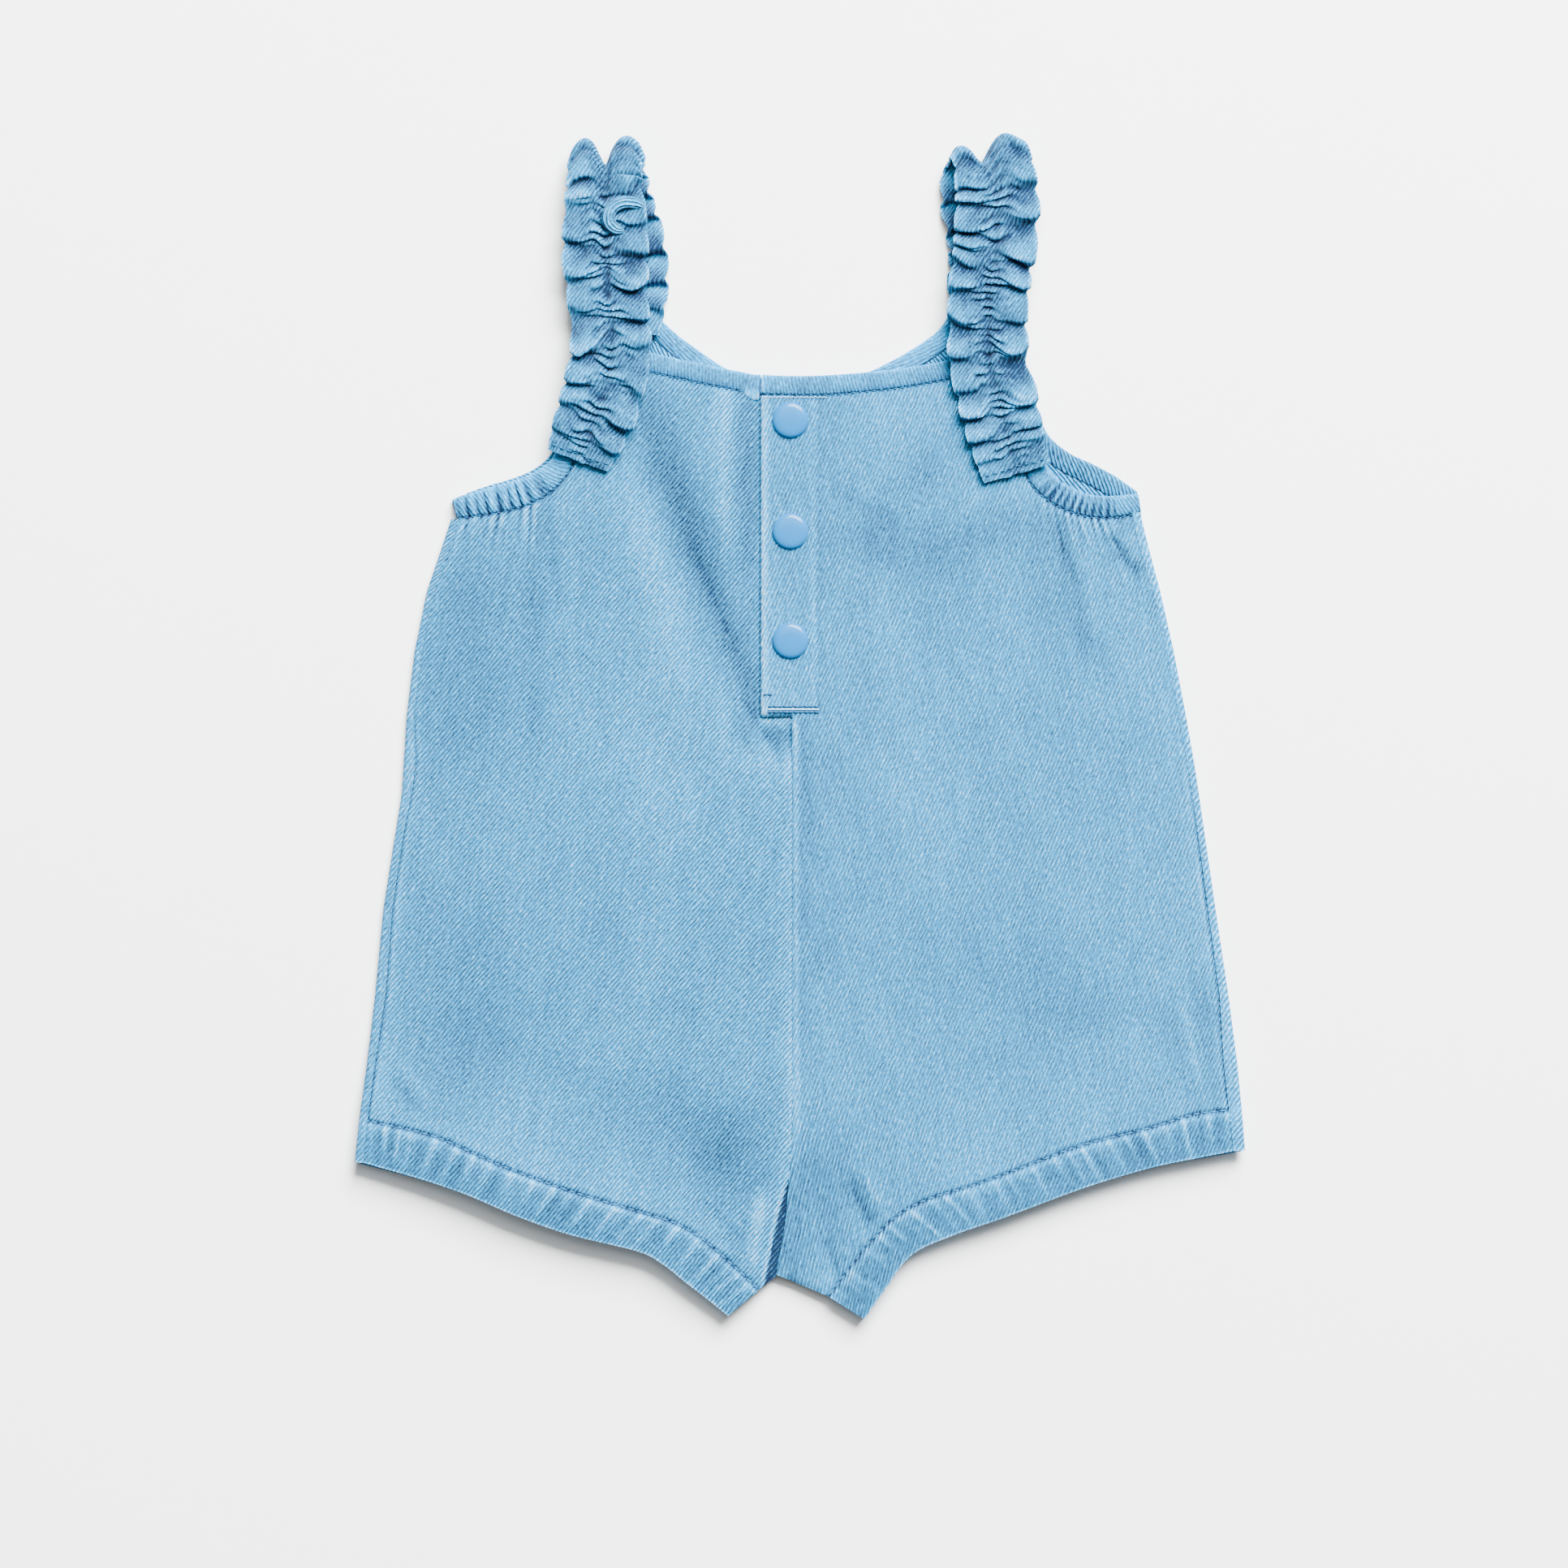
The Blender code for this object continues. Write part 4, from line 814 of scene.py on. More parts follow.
    # folded edges rub pale, and stitched lines stay dark
    hemShareAll = np.concatenate([np.zeros(hemRow), hemShares])[:, None]
    wearAndShade += 1.5 * smoothStep(hemShareAll, 0.95, 1.0) - 0.4 * smoothStep(hemShareAll, 0.0, 0.1)
    stitchOff = np.linalg.norm(plan - plan[hemRow][None], axis=2)
    # a groove along the stitching, darkened with painted shade, and the pale rim of the inseam beside the
    # crotch
    inseam = (np.arange(plan.shape[1]) < layerColumns + front["inseamColumns"])[None]
    wearAndShade += np.where(inseam, 1.3, -0.6) * bell(stitchOff, 0.6)
    if side > 0:
        inPlacket = smoothStep(plan[..., 1], cut["placketFootY"] - 0.6, cut["placketFootY"])
        wearAndShade += 1.1 * np.exp(-np.abs(plan[..., 0] - edgeX) / 0.9) * inPlacket
        wearAndShade += 0.3 * smoothStep(plan[..., 0], -9.8, -11.0) * inPlacket
    wearAndShade = np.clip(wearAndShade, -2.4, 2.2)
    inner = np.dstack([plan, low])
    outer = np.dstack([plan, low + np.maximum(wall + relief, 0.25)])
    uv = grainMap(side, plan[..., 0], plan[..., 1])
    word = sideWords[side]
    clothPiece(
        "front_" + word + "_denim", outer, inner, kept, "body", uv, wearAndShade,
        "front_panel_" + word,
    )
    return outer[:, layerColumns:], hemRow


frontSheets = {side: frontPanel(side) for side in (-1, 1)}


# Back panels


back = {
    "neckColumns": 56,
    "inseamColumns": 6,
    "turn": (20.0, 45.0, 70.0, 90.0, 110.0, 135.0, 160.0, 180.0),  # facets of the edge that turns up
    "folds": (
        (-40.0, 70.0, -58.0, 0.0, 9.0, 0.35), (38.0, 84.0, 52.0, 6.0, 10.0, 0.3),
        (-70.0, -20.0, -84.0, -110.0, 12.0, 0.35), (64.0, -30.0, 80.0, -118.0, 12.0, 0.35),
        (-18.0, -140.0, -24.0, -172.0, 5.0, 0.3), (14.0, -136.0, 24.0, -170.0, 5.0, 0.3),
        (-10.0, 90.0, -8.0, 20.0, 5.0, 0.2), (104.0, 50.0, 108.0, 0.0, 7.0, 0.3),
        (-104.0, 48.0, -112.0, -6.0, 7.0, 0.3),
    ),
}


def backPanel(side):
    armhole = armholes[("back", side)]
    neck = curveThrough(necks["back"], np.linspace(0.5, 0.0 if side < 0 else 1.0, back["neckColumns"]))
    border = sideways(neck, -side * (necks["width"] / 2 + cut["border"]))
    border[0, 0] = cut["centreX"]
    line = curveThrough(armhole, np.linspace(0, 1, 74))
    arm = sideways(line, -side * (line[:, 2] / 2 + cut["border"]))
    arm[-1, 1] -= cut["underarmDrop"]
    arm[-1, 0] = sideX(side, arm[-1, 1], False)
    top = np.vstack([border, arm])
    hemShares = np.linspace(0, 1, 10)
    plan, hemRow, lower, kept = panelPlan(
        side, top, back["inseamColumns"], False, np.linspace(0, 1, 64), np.linspace(0, 1, 92), hemShares
    )
    lift = hemLift(plan, lower)
    inHem = smoothStep(np.arange(len(plan)), hemRow - 0.5, hemRow + 1.5)[:, None]
    thickness = cut["wall"] + (cut["hemWall"] - cut["wall"]) * inHem + np.zeros_like(lift)
    plan[..., 0] += side * cut["seam"] / 2 * (np.arange(plan.shape[1]) == 0)

    wall = thickness[:, -1]
    foldX, foldY = plan[:, -1, 0].copy(), plan[:, -1, 1]
    turn = (wall + readTable(cut["sideSpace"], foldY)) / 2
    centre = foldX - side * (turn + wall / 2)
    seamX = sideX(side, foldY, True) + side * 0.08
    plan[:, -1, 0] = centre
    # soft folds lift the underside, which otherwise lies on the table
    x, y = plan[..., 0], plan[..., 1]
    edge = smoothStep(np.abs(x - centre[:, None]), 0.0, 12.0)
    raised = foldHeights(x, y, back["folds"]) * edge
    relief = unevenness(x, y, 50 + side) * edge
    stitchOff = np.linalg.norm(plan - plan[hemRow][None], axis=2)
    groove = 0.3 * bell(stitchOff, 0.7)
    puckers = np.maximum(hemPuckers(plan, hemRow, hemShares, 30 + side) * edge, -0.2)
    lowFace = lift + raised + np.maximum(relief * 0.5, 0) + groove + np.maximum(puckers * 0.5, 0)
    topFace = lift + thickness + np.minimum(raised, 0.35) + relief - groove + puckers
    middle = np.dstack([plan, (lowFace + topFace) / 2])
    half = np.maximum(topFace - lowFace, 0.5) / 2
    facing = np.zeros_like(middle)
    facing[..., 2] = -1.0
    base = lift[:, -1] + wall / 2
    angles = np.radians(back["turn"])
    out, up = np.sin(angles), -np.cos(angles)
    wraps = np.stack([
        centre[:, None] + side * turn[:, None] * out, np.repeat(foldY[:, None], len(angles), axis=1),
        (base + turn)[:, None] + turn[:, None] * up,
    ], axis=2)
    normals = np.broadcast_to(np.stack([side * out, out * 0, up], axis=1), wraps.shape)
    leg = np.where(side * (seamX - centre) < -0.2, seamX, centre - side * 0.2)
    legPoint = np.stack([leg, foldY, base + 2 * turn], axis=1)[:, None]
    middle = np.concatenate([middle, wraps, legPoint], axis=1)
    facing = np.concatenate([facing, normals, np.broadcast_to((0.0, 0.0, 1.0), legPoint.shape)], axis=1)
    added = len(angles) + 1
    half = np.concatenate([half, np.repeat(wall[:, None] / 2, added, axis=1)], axis=1)
    kept = np.concatenate([kept, np.ones((kept.shape[0], added), bool)], axis=1)
    outer = middle + facing * half[..., None]
    inner = middle - facing * half[..., None]
    roundTurn = np.cumsum(np.linalg.norm(np.diff(middle[:, -added - 1 :], axis=1), axis=2), axis=1)
    flatX = np.concatenate([plan[..., 0], centre[:, None] + side * roundTurn], axis=1)
    flatY = np.concatenate([plan[..., 1], np.repeat(foldY[:, None], added, axis=1)], axis=1)
    uv = grainMap(-side, -flatX, flatY)  # mirrored, because this face is seen from behind
    wearAndShade = np.zeros(middle.shape[:2])
    # painted light on lumps and pucker crests, painted shade in their hollows and in the stitching groove
    wearAndShade[:, : plan.shape[1]] = (relief + puckers - groove) / 0.3 * edge
    wearAndShade[:, plan.shape[1] :] = 0.25
    hemShareAll = np.concatenate([np.zeros(hemRow), hemShares])[:, None]
    wearAndShade = np.clip(wearAndShade + 1.2 * smoothStep(hemShareAll, 0.88, 1.0), -1.2, 1.6)
    word = sideWords[side]
    clothPiece(
        "back_" + word + "_denim", outer, inner, kept, "body", uv, wearAndShade,
        "back_panel_" + word,
    )
    return outer[:, : plan.shape[1]], hemRow


backSheets = {side: backPanel(side) for side in (-1, 1)}


# Bindings


bindings = {
    "backHeight": 1.6,
    "frontHeight": 2.4,
    "space": 0.15,  # between the front tapes and the back ones
    # twill against the tape, in degrees
    "grain": {"neckFront": 80.0, "neckBack": 8.0, "armFront": 66.0, "armBack": 40.0},
    "ridge": {"front": 0.8, "back": 0.15},  # height of the gathers on the armhole tapes
    "ring": 32,
    "rounding": 0.3,  # length of the rounded ends
    "dip": 0.35,  # how far the sewn edge is drawn down
    "unevenness": 0.09,
    # each tape's tone shift: the back tapes are darkened with painted shade
    "wearAndShade": {("front", -1): 0.2, ("front", 1): 0.1, ("back", -1): -0.2, ("back", 1): -0.35},
}


def tapePiece(node, line, width, low, height, ripple, grain, sewn, wearAndShadeShift, material="tape", raw=0.0):
    # a rounded band carried along a line: its section is a superellipse, flatter underneath, and the
    # side towards which it is sewn (1 is left of the line) dips and darkens with painted shade, or shows raw
    # white cloth
    count = len(line)
    angles = np.linspace(0, 2 * np.pi, bindings["ring"], endpoint=False)
    across = 0.5 * np.sign(np.cos(angles)) * np.abs(np.cos(angles)) ** 0.6
    up = 0.5 + 0.5 * np.sign(np.sin(angles)) * np.abs(np.sin(angles)) ** 0.75
    widths, lows, heights = (
        np.broadcast_to(np.reshape(size, (-1, 1)), (count, 1)) for size in (width, low, height)
    )
    run = runAlong(line[:, :2])
    toEnd = np.clip(np.minimum(run, run[-1] - run) / bindings["rounding"], 0, 1)[:, None]
    full = np.sqrt(1 - (1 - toEnd) ** 2)
    widths, heights = widths * (0.66 + 0.34 * full), heights * (0.6 + 0.4 * full)
    crown = np.clip(up, 0, 1) ** 2
    toSeam = smoothStep(across * sewn, -0.45, 0.4)
    flat = line[:, None, :2] + leftOf(line)[:, None] * (across[None] * widths)[..., None]
    uneven = bindings["unevenness"] * softNoise(run[:, None], across[None] * 6, 3.6, 9) * crown
    gathered = ripple * (0.4 + 0.6 * toSeam) * crown
    dip = bindings["dip"] * smoothStep(across * sewn, 0.1, 0.5) * crown
    z = lows + up[None] * (heights - dip) + gathered + uneven
    points = np.dstack([flat, z])
    quads, firstEnd, lastEnd = tubeFaces(count, bindings["ring"])
    flatPoints = points.reshape(-1, 3)
    middle = points.mean(axis=1)[:-1].repeat(bindings["ring"], axis=0)
    first, second, third, fourth = (flatPoints[quads[:, corner]] for corner in range(4))
    if (np.cross(third - first, fourth - second) * (first - middle)).sum() < 0:  # turned to face outwards
        quads = quads[:, ::-1]
        lastEnd.reverse()
    else:
        firstEnd.reverse()
    steps = np.hypot(np.diff(across) * widths.mean(), np.diff(up) * heights.mean())
    girth = np.concatenate([[0], np.cumsum(steps)])
    uv = turned(run[:, None], girth[None], math.radians(bodyLook["waleAngle"] - grain))
    # the folded free edge rubs pale; the sewn edge darkens with painted shade, and the gathers and lumps take
    # painted light on their crests and painted shade between them
    wearAndShade = 2.9 * gathered + 3.0 * uneven + wearAndShadeShift
    wearAndShade = wearAndShade + 0.4 * smoothStep(across * sewn, -0.3, -0.5) - 0.9 * smoothStep(across * sewn, 0.38, 0.5)
    wearAndShade = wearAndShade + raw * smoothStep(across * sewn, 0.0, 0.35)
    faces = quads.tolist() + [firstEnd, lastEnd]
    wearAndShade = np.clip(wearAndShade, -1.8, 2.6).ravel()
    piece = makePiece(node + "_denim", flatPoints, faces, material, uv.reshape(-1, 2), wearAndShade, 55)
    standFor(piece, node)


def tapeGathers(look, share, seed):
    # ridges across a gathered tape, one to each gather of the panel below it
    number = gatherNumber(look, share)
    number = number + 0.2 * softNoise(number, 0.0, 1.0, seed)
    zone = smoothStep(number, -1.2, 0.8) * smoothStep(number, look["count"] + 0.5, look["count"] - 0.2)
    uneven = 0.75 + 0.4 * softNoise(number, 3.0, 1.3, seed + 1)
    return crested(number, look) * zone * uneven


def armholeTape(where, side):
    share = np.concatenate([np.linspace(0, 0.97, 300)[:-1], np.linspace(0.97, 1, 24)])
    line = curveThrough(armholes[(where, side)], share)
    wave = tapeGathers(gathers[side], share, 40 + side)
    inFront = where == "front"
    height = bindings["frontHeight"] if inFront else bindings["backHeight"]
    low = bindings["backHeight"] + bindings["space"] if inFront else 0.0
    ripple = bindings["ridge"][where] * (wave - 0.5 * (wave != 0))[:, None]
    tapePiece(
        "armhole_binding_" + where + "_" + sideWords[side], line, line[:, 2] * (1 + 0.02 * wave), low, height,
        ripple, bindings["grain"]["armFront" if inFront else "armBack"], -side,
        bindings["wearAndShade"][(where, side)], "tape" if inFront else "body",
    )


def neckTapes():
    backLine = curveThrough(necks["back"], np.linspace(0, 1, 260))
    tapePiece(
        "neck_binding_back", backLine, necks["width"], 0.0, bindings["backHeight"], 0.0,
        bindings["grain"]["neckBack"], -1, 0.1,
    )
    neck = curveThrough(necks["front"], np.linspace(0, 1, 400))
    level = bindings["backHeight"] + bindings["space"]
    edge = front["placketEdgeX"]
    for word, xs in (
        ("left", np.linspace(neck[0, 0], edge - 0.1, 160)), ("right", np.linspace(edge, neck[-1, 0], 220)),
    ):
        line = np.stack([xs, readTable(neck, xs)], axis=1)
        low, width, pale = np.full(len(xs), level), np.full(len(xs), necks["width"]), np.full(len(xs), -0.1)
        raw, height = np.zeros((len(xs), 1)), np.full(len(xs), bindings["frontHeight"])
        if word == "right":
            overSnaps = smoothStep(xs, 24.0, front["underlapEdgeX"] + 1.5)
            low += (front["overlapLow"] - level) * overSnaps
            height -= 0.6 * overSnaps
            pale += 1.4 * np.exp(-(xs - edge) / 1.3)
        else:  # the end is folded under on the slant, and its raw white corner shows
            drop = 2.6 * smoothStep(xs, edge - 6.5, edge - 1.0)
            width += drop
            line[:, 1] -= drop / 2
            raw[:, 0] = 1.5 * smoothStep(xs, edge - 5.6, edge - 3.0)
        soft = 0.1 * softNoise(xs, 0.0, 6.0, 61)[:, None]
        tapePiece(
            "neck_binding_front_" + word, line, width, low, height, soft,
            bindings["grain"]["neckFront"], -1, pale[:, None], raw=raw,
        )


neckTapes()
for where in ("back", "front"):
    for side in (-1, 1):
        armholeTape(where, side)
print("bindings made")


# Straps


# front and back run: x, y, z, half width; flaps of each edge: y of the flap's lower edge, height
straps = {
    "rows": 570,
    "columns": 58,
    "cloth": 0.7,
    "lean": 0.34,  # how far each flap hangs over the next, as a share of its length
    "height": 1.6,
    "scallop": 1.0,
    "calm": 9.0,
    "pinchPitch": 3.0,
    "pinchHeight": 0.72,
    "left": {
        "front": (
            (-73.9, 88.4, 6.2, 10.7), (-70.9, 96.5, 7.2, 12.0), (-67.8, 104.0, 7.7, 13.0),
            (-64.8, 114.2, 8.0, 13.2), (-62.8, 124.0, 8.3, 13.2), (-63.5, 133.7, 8.4, 13.3),
            (-64.3, 147.2, 8.4, 13.4), (-64.8, 160.7, 8.4, 14.2), (-64.9, 174.2, 8.4, 13.2),
            (-65.1, 184.0, 8.4, 12.0),
        ),
        "back": (
            (-64.4, 184.0, 2.6, 12.4), (-62.6, 176.0, 2.6, 12.8), (-61.0, 169.0, 2.6, 13.2),
            (-58.4, 160.0, 2.6, 13.4), (-57.2, 148.0, 2.9, 13.2), (-57.2, 138.5, 3.7, 12.2),
            (-57.5, 130.5, 3.6, 10.5),
        ),
        "flaps": {
            -1: (
                (92.0, 0.3), (98.5, 0.5), (108.8, 0.55), (117.0, 1.0), (132.3, 1.0), (145.0, 0.32),
                (156.6, 1.1), (168.5, 0.4), (178.5, 0.8), (187.0, 0.5),
            ),
            1: (
                (90.0, 0.3), (100.7, 1.0), (108.8, 0.75), (120.0, 0.35), (132.3, 0.8), (140.4, 0.75),
                (151.7, 1.1), (163.0, 0.45), (172.0, 0.6), (182.5, 0.8), (190.0, 0.5),
            ),
        },
        # how far the shoulder fold stands past its middle: place across, reach
        "crest": (
            (-1.0, -1.5), (-0.86, 3.4), (-0.68, 6.3), (-0.5, 7.4), (-0.33, 6.2), (-0.17, 2.8), (-0.03, 0.2),
            (0.08, 0.9), (0.2, 4.6), (0.35, 7.1), (0.5, 7.7), (0.68, 7.2), (0.86, 5.2), (1.0, 1.5),
        ),
        "seed": 71,
        # a flap near the top curls over itself: x, y, z, half width, half height
        "rolls": (
            (
                (-51.8, 172.4, 8.9, 1.2, 0.8), (-53.6, 173.3, 9.3, 1.8, 1.0), (-56.0, 173.9, 9.6, 2.1, 1.1),
                (-58.6, 173.9, 9.8, 2.2, 1.1), (-61.0, 173.0, 9.9, 2.3, 1.1), (-62.9, 171.2, 9.9, 2.3, 1.1),
                (-63.7, 168.9, 9.8, 2.3, 1.1), (-63.2, 166.7, 9.6, 2.3, 1.1), (-61.6, 165.2, 9.3, 2.1, 1.0),
                (-59.8, 164.6, 8.9, 1.6, 0.9), (-58.4, 164.7, 8.4, 1.0, 0.8),
            ),
        ),
    },
    "right": {
        "front": (
            (71.9, 84.0, 6.2, 11.3), (69.4, 92.5, 7.1, 12.0), (67.6, 100.0, 7.6, 12.6),
            (65.4, 109.0, 7.9, 12.9), (62.8, 120.2, 8.2, 13.1), (62.1, 133.7, 8.4, 13.2),
            (62.9, 147.2, 8.4, 13.2), (64.8, 160.7, 8.4, 13.6), (65.5, 174.2, 8.4, 13.8),
            (64.5, 184.0, 8.4, 13.2),
        ),
        "back": (
            (61.2, 184.0, 2.6, 13.0), (59.9, 178.0, 2.5, 13.2), (60.8, 170.0, 2.5, 13.2),
            (62.8, 160.0, 2.5, 13.2), (62.2, 148.0, 2.9, 13.0), (61.2, 138.5, 3.7, 12.0),
            (60.9, 130.5, 3.6, 10.5),
        ),
        "flaps": {
            -1: (
                (88.0, 0.3), (93.7, 0.4), (101.0, 0.9), (110.7, 0.9), (120.0, 0.3), (129.3, 1.05),
                (139.3, 0.65), (148.5, 0.8), (156.3, 0.4), (161.5, 0.9), (168.0, 0.85), (177.6, 0.7),
                (186.0, 0.5),
            ),
            1: (
                (87.0, 0.3), (96.9, 0.45), (101.0, 0.5), (112.0, 1.1), (131.0, 0.85), (142.8, 0.4),
                (151.7, 1.1), (161.5, 0.9), (174.2, 0.9), (186.0, 0.7), (192.0, 0.5),
            ),
        },
        "crest": (
            (-1.0, 1.0), (-0.88, 4.0), (-0.75, 4.6), (-0.56, 3.2), (-0.36, 0.9), (-0.2, 0.0), (-0.04, 3.0),
            (0.12, 7.2), (0.28, 9.2), (0.42, 8.8), (0.6, 7.2), (0.8, 5.6), (0.92, 3.8), (1.0, 1.2),
        ),
        "seed": 83,
    },
}


def rolledFlap(rows):
    # a flap curled up along a line: flattened rings of cloth, closed at both ends, pale on top in painted light
    # and darker beneath in painted shade
    line = curveThrough(rows, np.linspace(0, 1, 70))
    angles = np.linspace(0, 2 * np.pi, 28, endpoint=False)
    run = runAlong(line[:, :2])
    ends = np.sqrt(1 - (1 - np.clip(np.minimum(run, run[-1] - run) / 1.2, 0.08, 1)) ** 2)[:, None]
    points = np.repeat(line[:, None, :3], len(angles), axis=1)
    points[..., :2] += leftOf(line)[:, None] * (np.cos(angles) * line[:, 3:4] * ends)[..., None]
    points[..., 2] += np.sin(angles) * line[:, 4:5] * ends + 0.1 * softNoise(run[:, None], angles[None], 1.2, 7)
    quads, firstEnd, lastEnd = tubeFaces(len(line), len(angles))
    # the twill runs along the curl
    uv = turned(run[:, None], angles * 1.9, math.radians(bodyLook["waleAngle"]))
    # painted light on top of the roll and painted shade beneath it, with random tone
    wearAndShade = np.sin(angles) ** 3 - 0.1 + 0.4 * softNoise(run[:, None], angles[None] * 2, 2.5, 8)
    return points.reshape(-1, 3), quads.tolist() + [firstEnd[::-1], lastEnd], uv.reshape(-1, 2), wearAndShade.ravel()


def strapPiece(word):
    look = straps[word]
    draw = np.random.default_rng(look["seed"])
    upper = curveThrough(look["front"], np.linspace(0, 1, 330))
    lower = curveThrough(look["back"], np.linspace(0, 1, 150))
    turn = (upper[-1, 2] - lower[0, 2]) / 2
    angles = np.radians(np.linspace(90, -90, 33))[1:-1]
    share = (1 - np.sin(angles)) / 2
    over = upper[-1] + (lower[0] - upper[-1]) * share[:, None]
    over[:, 1] += turn * np.cos(angles)
    over[:, 2] = lower[0, 2] + turn + turn * np.sin(angles)
    middle = np.vstack([upper, over, lower])
    run = runAlong(middle[:, :3])
    apex = run[len(upper) + len(over) // 2]
    # resample evenly along the run, so that every wave gets the same number of rows
    even = np.linspace(0, run[-1], straps["rows"])
    middle = np.stack([np.interp(even, run, column) for column in middle.T], axis=1)
    run, inRun = even, even[:, None]
    along = unit(np.gradient(middle[:, :3], run, axis=0))
    plain = smoothStep(np.abs(run - apex), 6.0, 14.0)[:, None]
    heading = np.sign(along[:, 1:2]) * along
    level = np.stack([heading[:, 1], -heading[:, 0], np.zeros(len(run))], axis=1)
    across = unit(np.tile([1.0, 0.0, 0.0], (len(run), 1)) * (1 - plain) + plain * level)
    facing = unit(np.cross(across, along))

    u = np.linspace(-1, 1, straps["columns"])
    u = np.sign(u) * np.abs(u) ** 0.9
    toEdge, seed = np.abs(u)[None], look["seed"]
    calm = (smoothStep(run, -2.0, straps["calm"]) * smoothStep(run, run[-1] + 3.0, run[-1] - 14.0))[:, None]
    numbers, heights, pitches = {}, {}, {}
    for side in (-1, 1):
        edges = np.array(look["flaps"][side])
        # the front's flaps come from the table; behind the fold they go on at an even pitch
        marks = np.interp(edges[:, 0], middle[: len(run) * 3 // 5, 1], run[: len(run) * 3 // 5])
        marks = np.concatenate([marks, marks[-1] + np.cumsum(draw.uniform(7.5, 11.0, 9))])
        rises = np.concatenate([edges[:, 1], draw.uniform(0.6, 1.0, 9)])
        gap = np.gradient(marks)
        numbers[side] = np.interp(run + 0.33 * np.interp(run, marks, gap), marks, np.arange(len(marks)))
        heights[side] = np.interp(run, marks, rises)
        pitches[side] = np.interp(run, marks, gap)
    mix, reach = smoothStep(u, -0.25, 0.25)[None], smoothStep(toEdge, 0.04, 0.62)

    def both(table):
        # the left edge's values blended into the right edge's
        return table[-1].reshape(len(run), -1) * (1 - mix) + table[1].reshape(len(run), -1) * mix

    slope = 0.35 * softNoise(u[None] * 2, inRun / 9, 1.0, seed)
    turns = {side: numbers[side][:, None] - 0.15 + slope * 0.5 for side in (-1, 1)}
    cosines = both({side: np.cos(2 * np.pi * turns[side]) for side in (-1, 1)})
    waves = 1 - 2 * ((1 - cosines) / 2) ** 1.4  # broad on the flaps, narrow under their edges
    bulge = 1 - 1.7 * ((1 - cosines) / 2) ** 2.2
    size = both(heights) * reach * calm
    lean = straps["lean"] * both(pitches) * size
    height = straps["height"] * size * waves * (0.75 + 0.25 * toEdge)
    rounded = 1 - 0.55 * smoothStep(toEdge, 0.72, 1.0) ** 2  # the corners of the flaps are rounded
    shift = -lean * (0.5 + 0.5 * cosines) * rounded
    # fine pinches along the gathering thread
    pinchNumber = run / straps["pinchPitch"] + 0.45 * softNoise(run, 0.0, 7.0, seed + 2)
    bow = 0.5 * softNoise(u[None] * 3, inRun / 5, 1.0, seed + 4)
    pinches = np.cos(2 * np.pi * (pinchNumber[:, None] + bow))
    near = np.exp(-((toEdge / 0.5) ** 2.4)) * (0.35 + 0.65 * calm)
    uneven = 0.5 + 0.9 * softNoise(inRun, u[None] * 14, 4.0, seed + 5)
    pinchSize = near * np.clip(uneven, 0.1, 1.3) * (1 - 0.75 * bell(run - apex, 8.0))[:, None]
    height = height + straps["pinchHeight"] * pinchSize * pinches
    shift = shift - 0.36 * straps["pinchPitch"] * pinchSize * (0.5 + 0.5 * pinches)
    height = height - 0.7 * bell(u[None], 0.13) * calm  # the thread draws the middle in
    height = height + 0.12 * softNoise(inRun, u[None] * 13, 2.4, seed + 6)
    spread = u[None] * (middle[:, 3:4] + straps["scallop"] * calm * (bulge - 0.4) * size)
    points = middle[:, None, :3] + across[:, None] * spread[..., None] + facing[:, None] * height[..., None]
    points = points + along[:, None] * shift[..., None]
    crestAcross = readTable(curveThrough(look["crest"], np.linspace(0, 1, 120)), u)
    crest = bell(run - apex, 9.5)[:, None] * crestAcross[None]
    points[..., 1] += crest

    # the wall is offset along the surface's own normal, so that steep flaps keep their thickness
    normal = unit(np.cross(np.gradient(points, axis=1), np.gradient(points, axis=0)))
    normal *= np.sign((normal * facing[:, None]).sum(axis=2).mean())
    outer, inner = (points + turn * normal * straps["cloth"] / 2 for turn in (1, -1))
    kept = np.ones((len(run) - 1, len(u) - 1), bool)
    # each flap is pale at its crest, where it is rubbed and takes painted light, and stays deep blue under the
    # flap above in painted shade; painted shade also fills the hollows, the pinches and the gathered middle,
    # painted light lifts the ridges, and the outer edges rub pale
    wearAndShade = 0.85 * size * cosines + 0.9 * (height - blurred(height, 30)) + 0.7 * pinchSize * pinches
    wearAndShade = wearAndShade + smoothStep(toEdge, 0.9, 1.0) - 0.5 * bell(u[None], 0.35)
    wearAndShade = np.clip(wearAndShade + 0.6 * softNoise(runAlong(points), u[None] * 8, 5.0, seed + 8), -2.4, 2.0)
    # the cloth map runs across the strap and down its slopes, which keeps the twill straight on every flap
    uv = np.stack([points[..., 0], points[..., 1] - 0.8 * points[..., 2]], axis=2)
    clothPiece(
        "strap_" + word + "_denim", outer, inner, kept, "strap", uv, wearAndShade, "strap_" + word,
        [rolledFlap(rows) for rows in look.get("rolls", ())],
    )
    return outer


strapSheets = {word: strapPiece(word) for word in ("left", "right")}


# Snap caps


snaps = {
    "radius": 6.0,
    "height": 1.85,
    "foot": 4.62,
    "x": -3.3,
    "y": {"top": 101.8, "middle": 64.8, "bottom": 28.4},
    # section from the middle out: share of the radius, share of the height
    "section": (
        (0.0, 1.0), (0.3, 0.985), (0.55, 0.95), (0.72, 0.89), (0.84, 0.79), (0.91, 0.67), (0.96, 0.52),
        (0.99, 0.36), (1.0, 0.22), (0.985, 0.08), (0.95, 0.0), (0.6, 0.0), (0.0, 0.0),
    ),
}


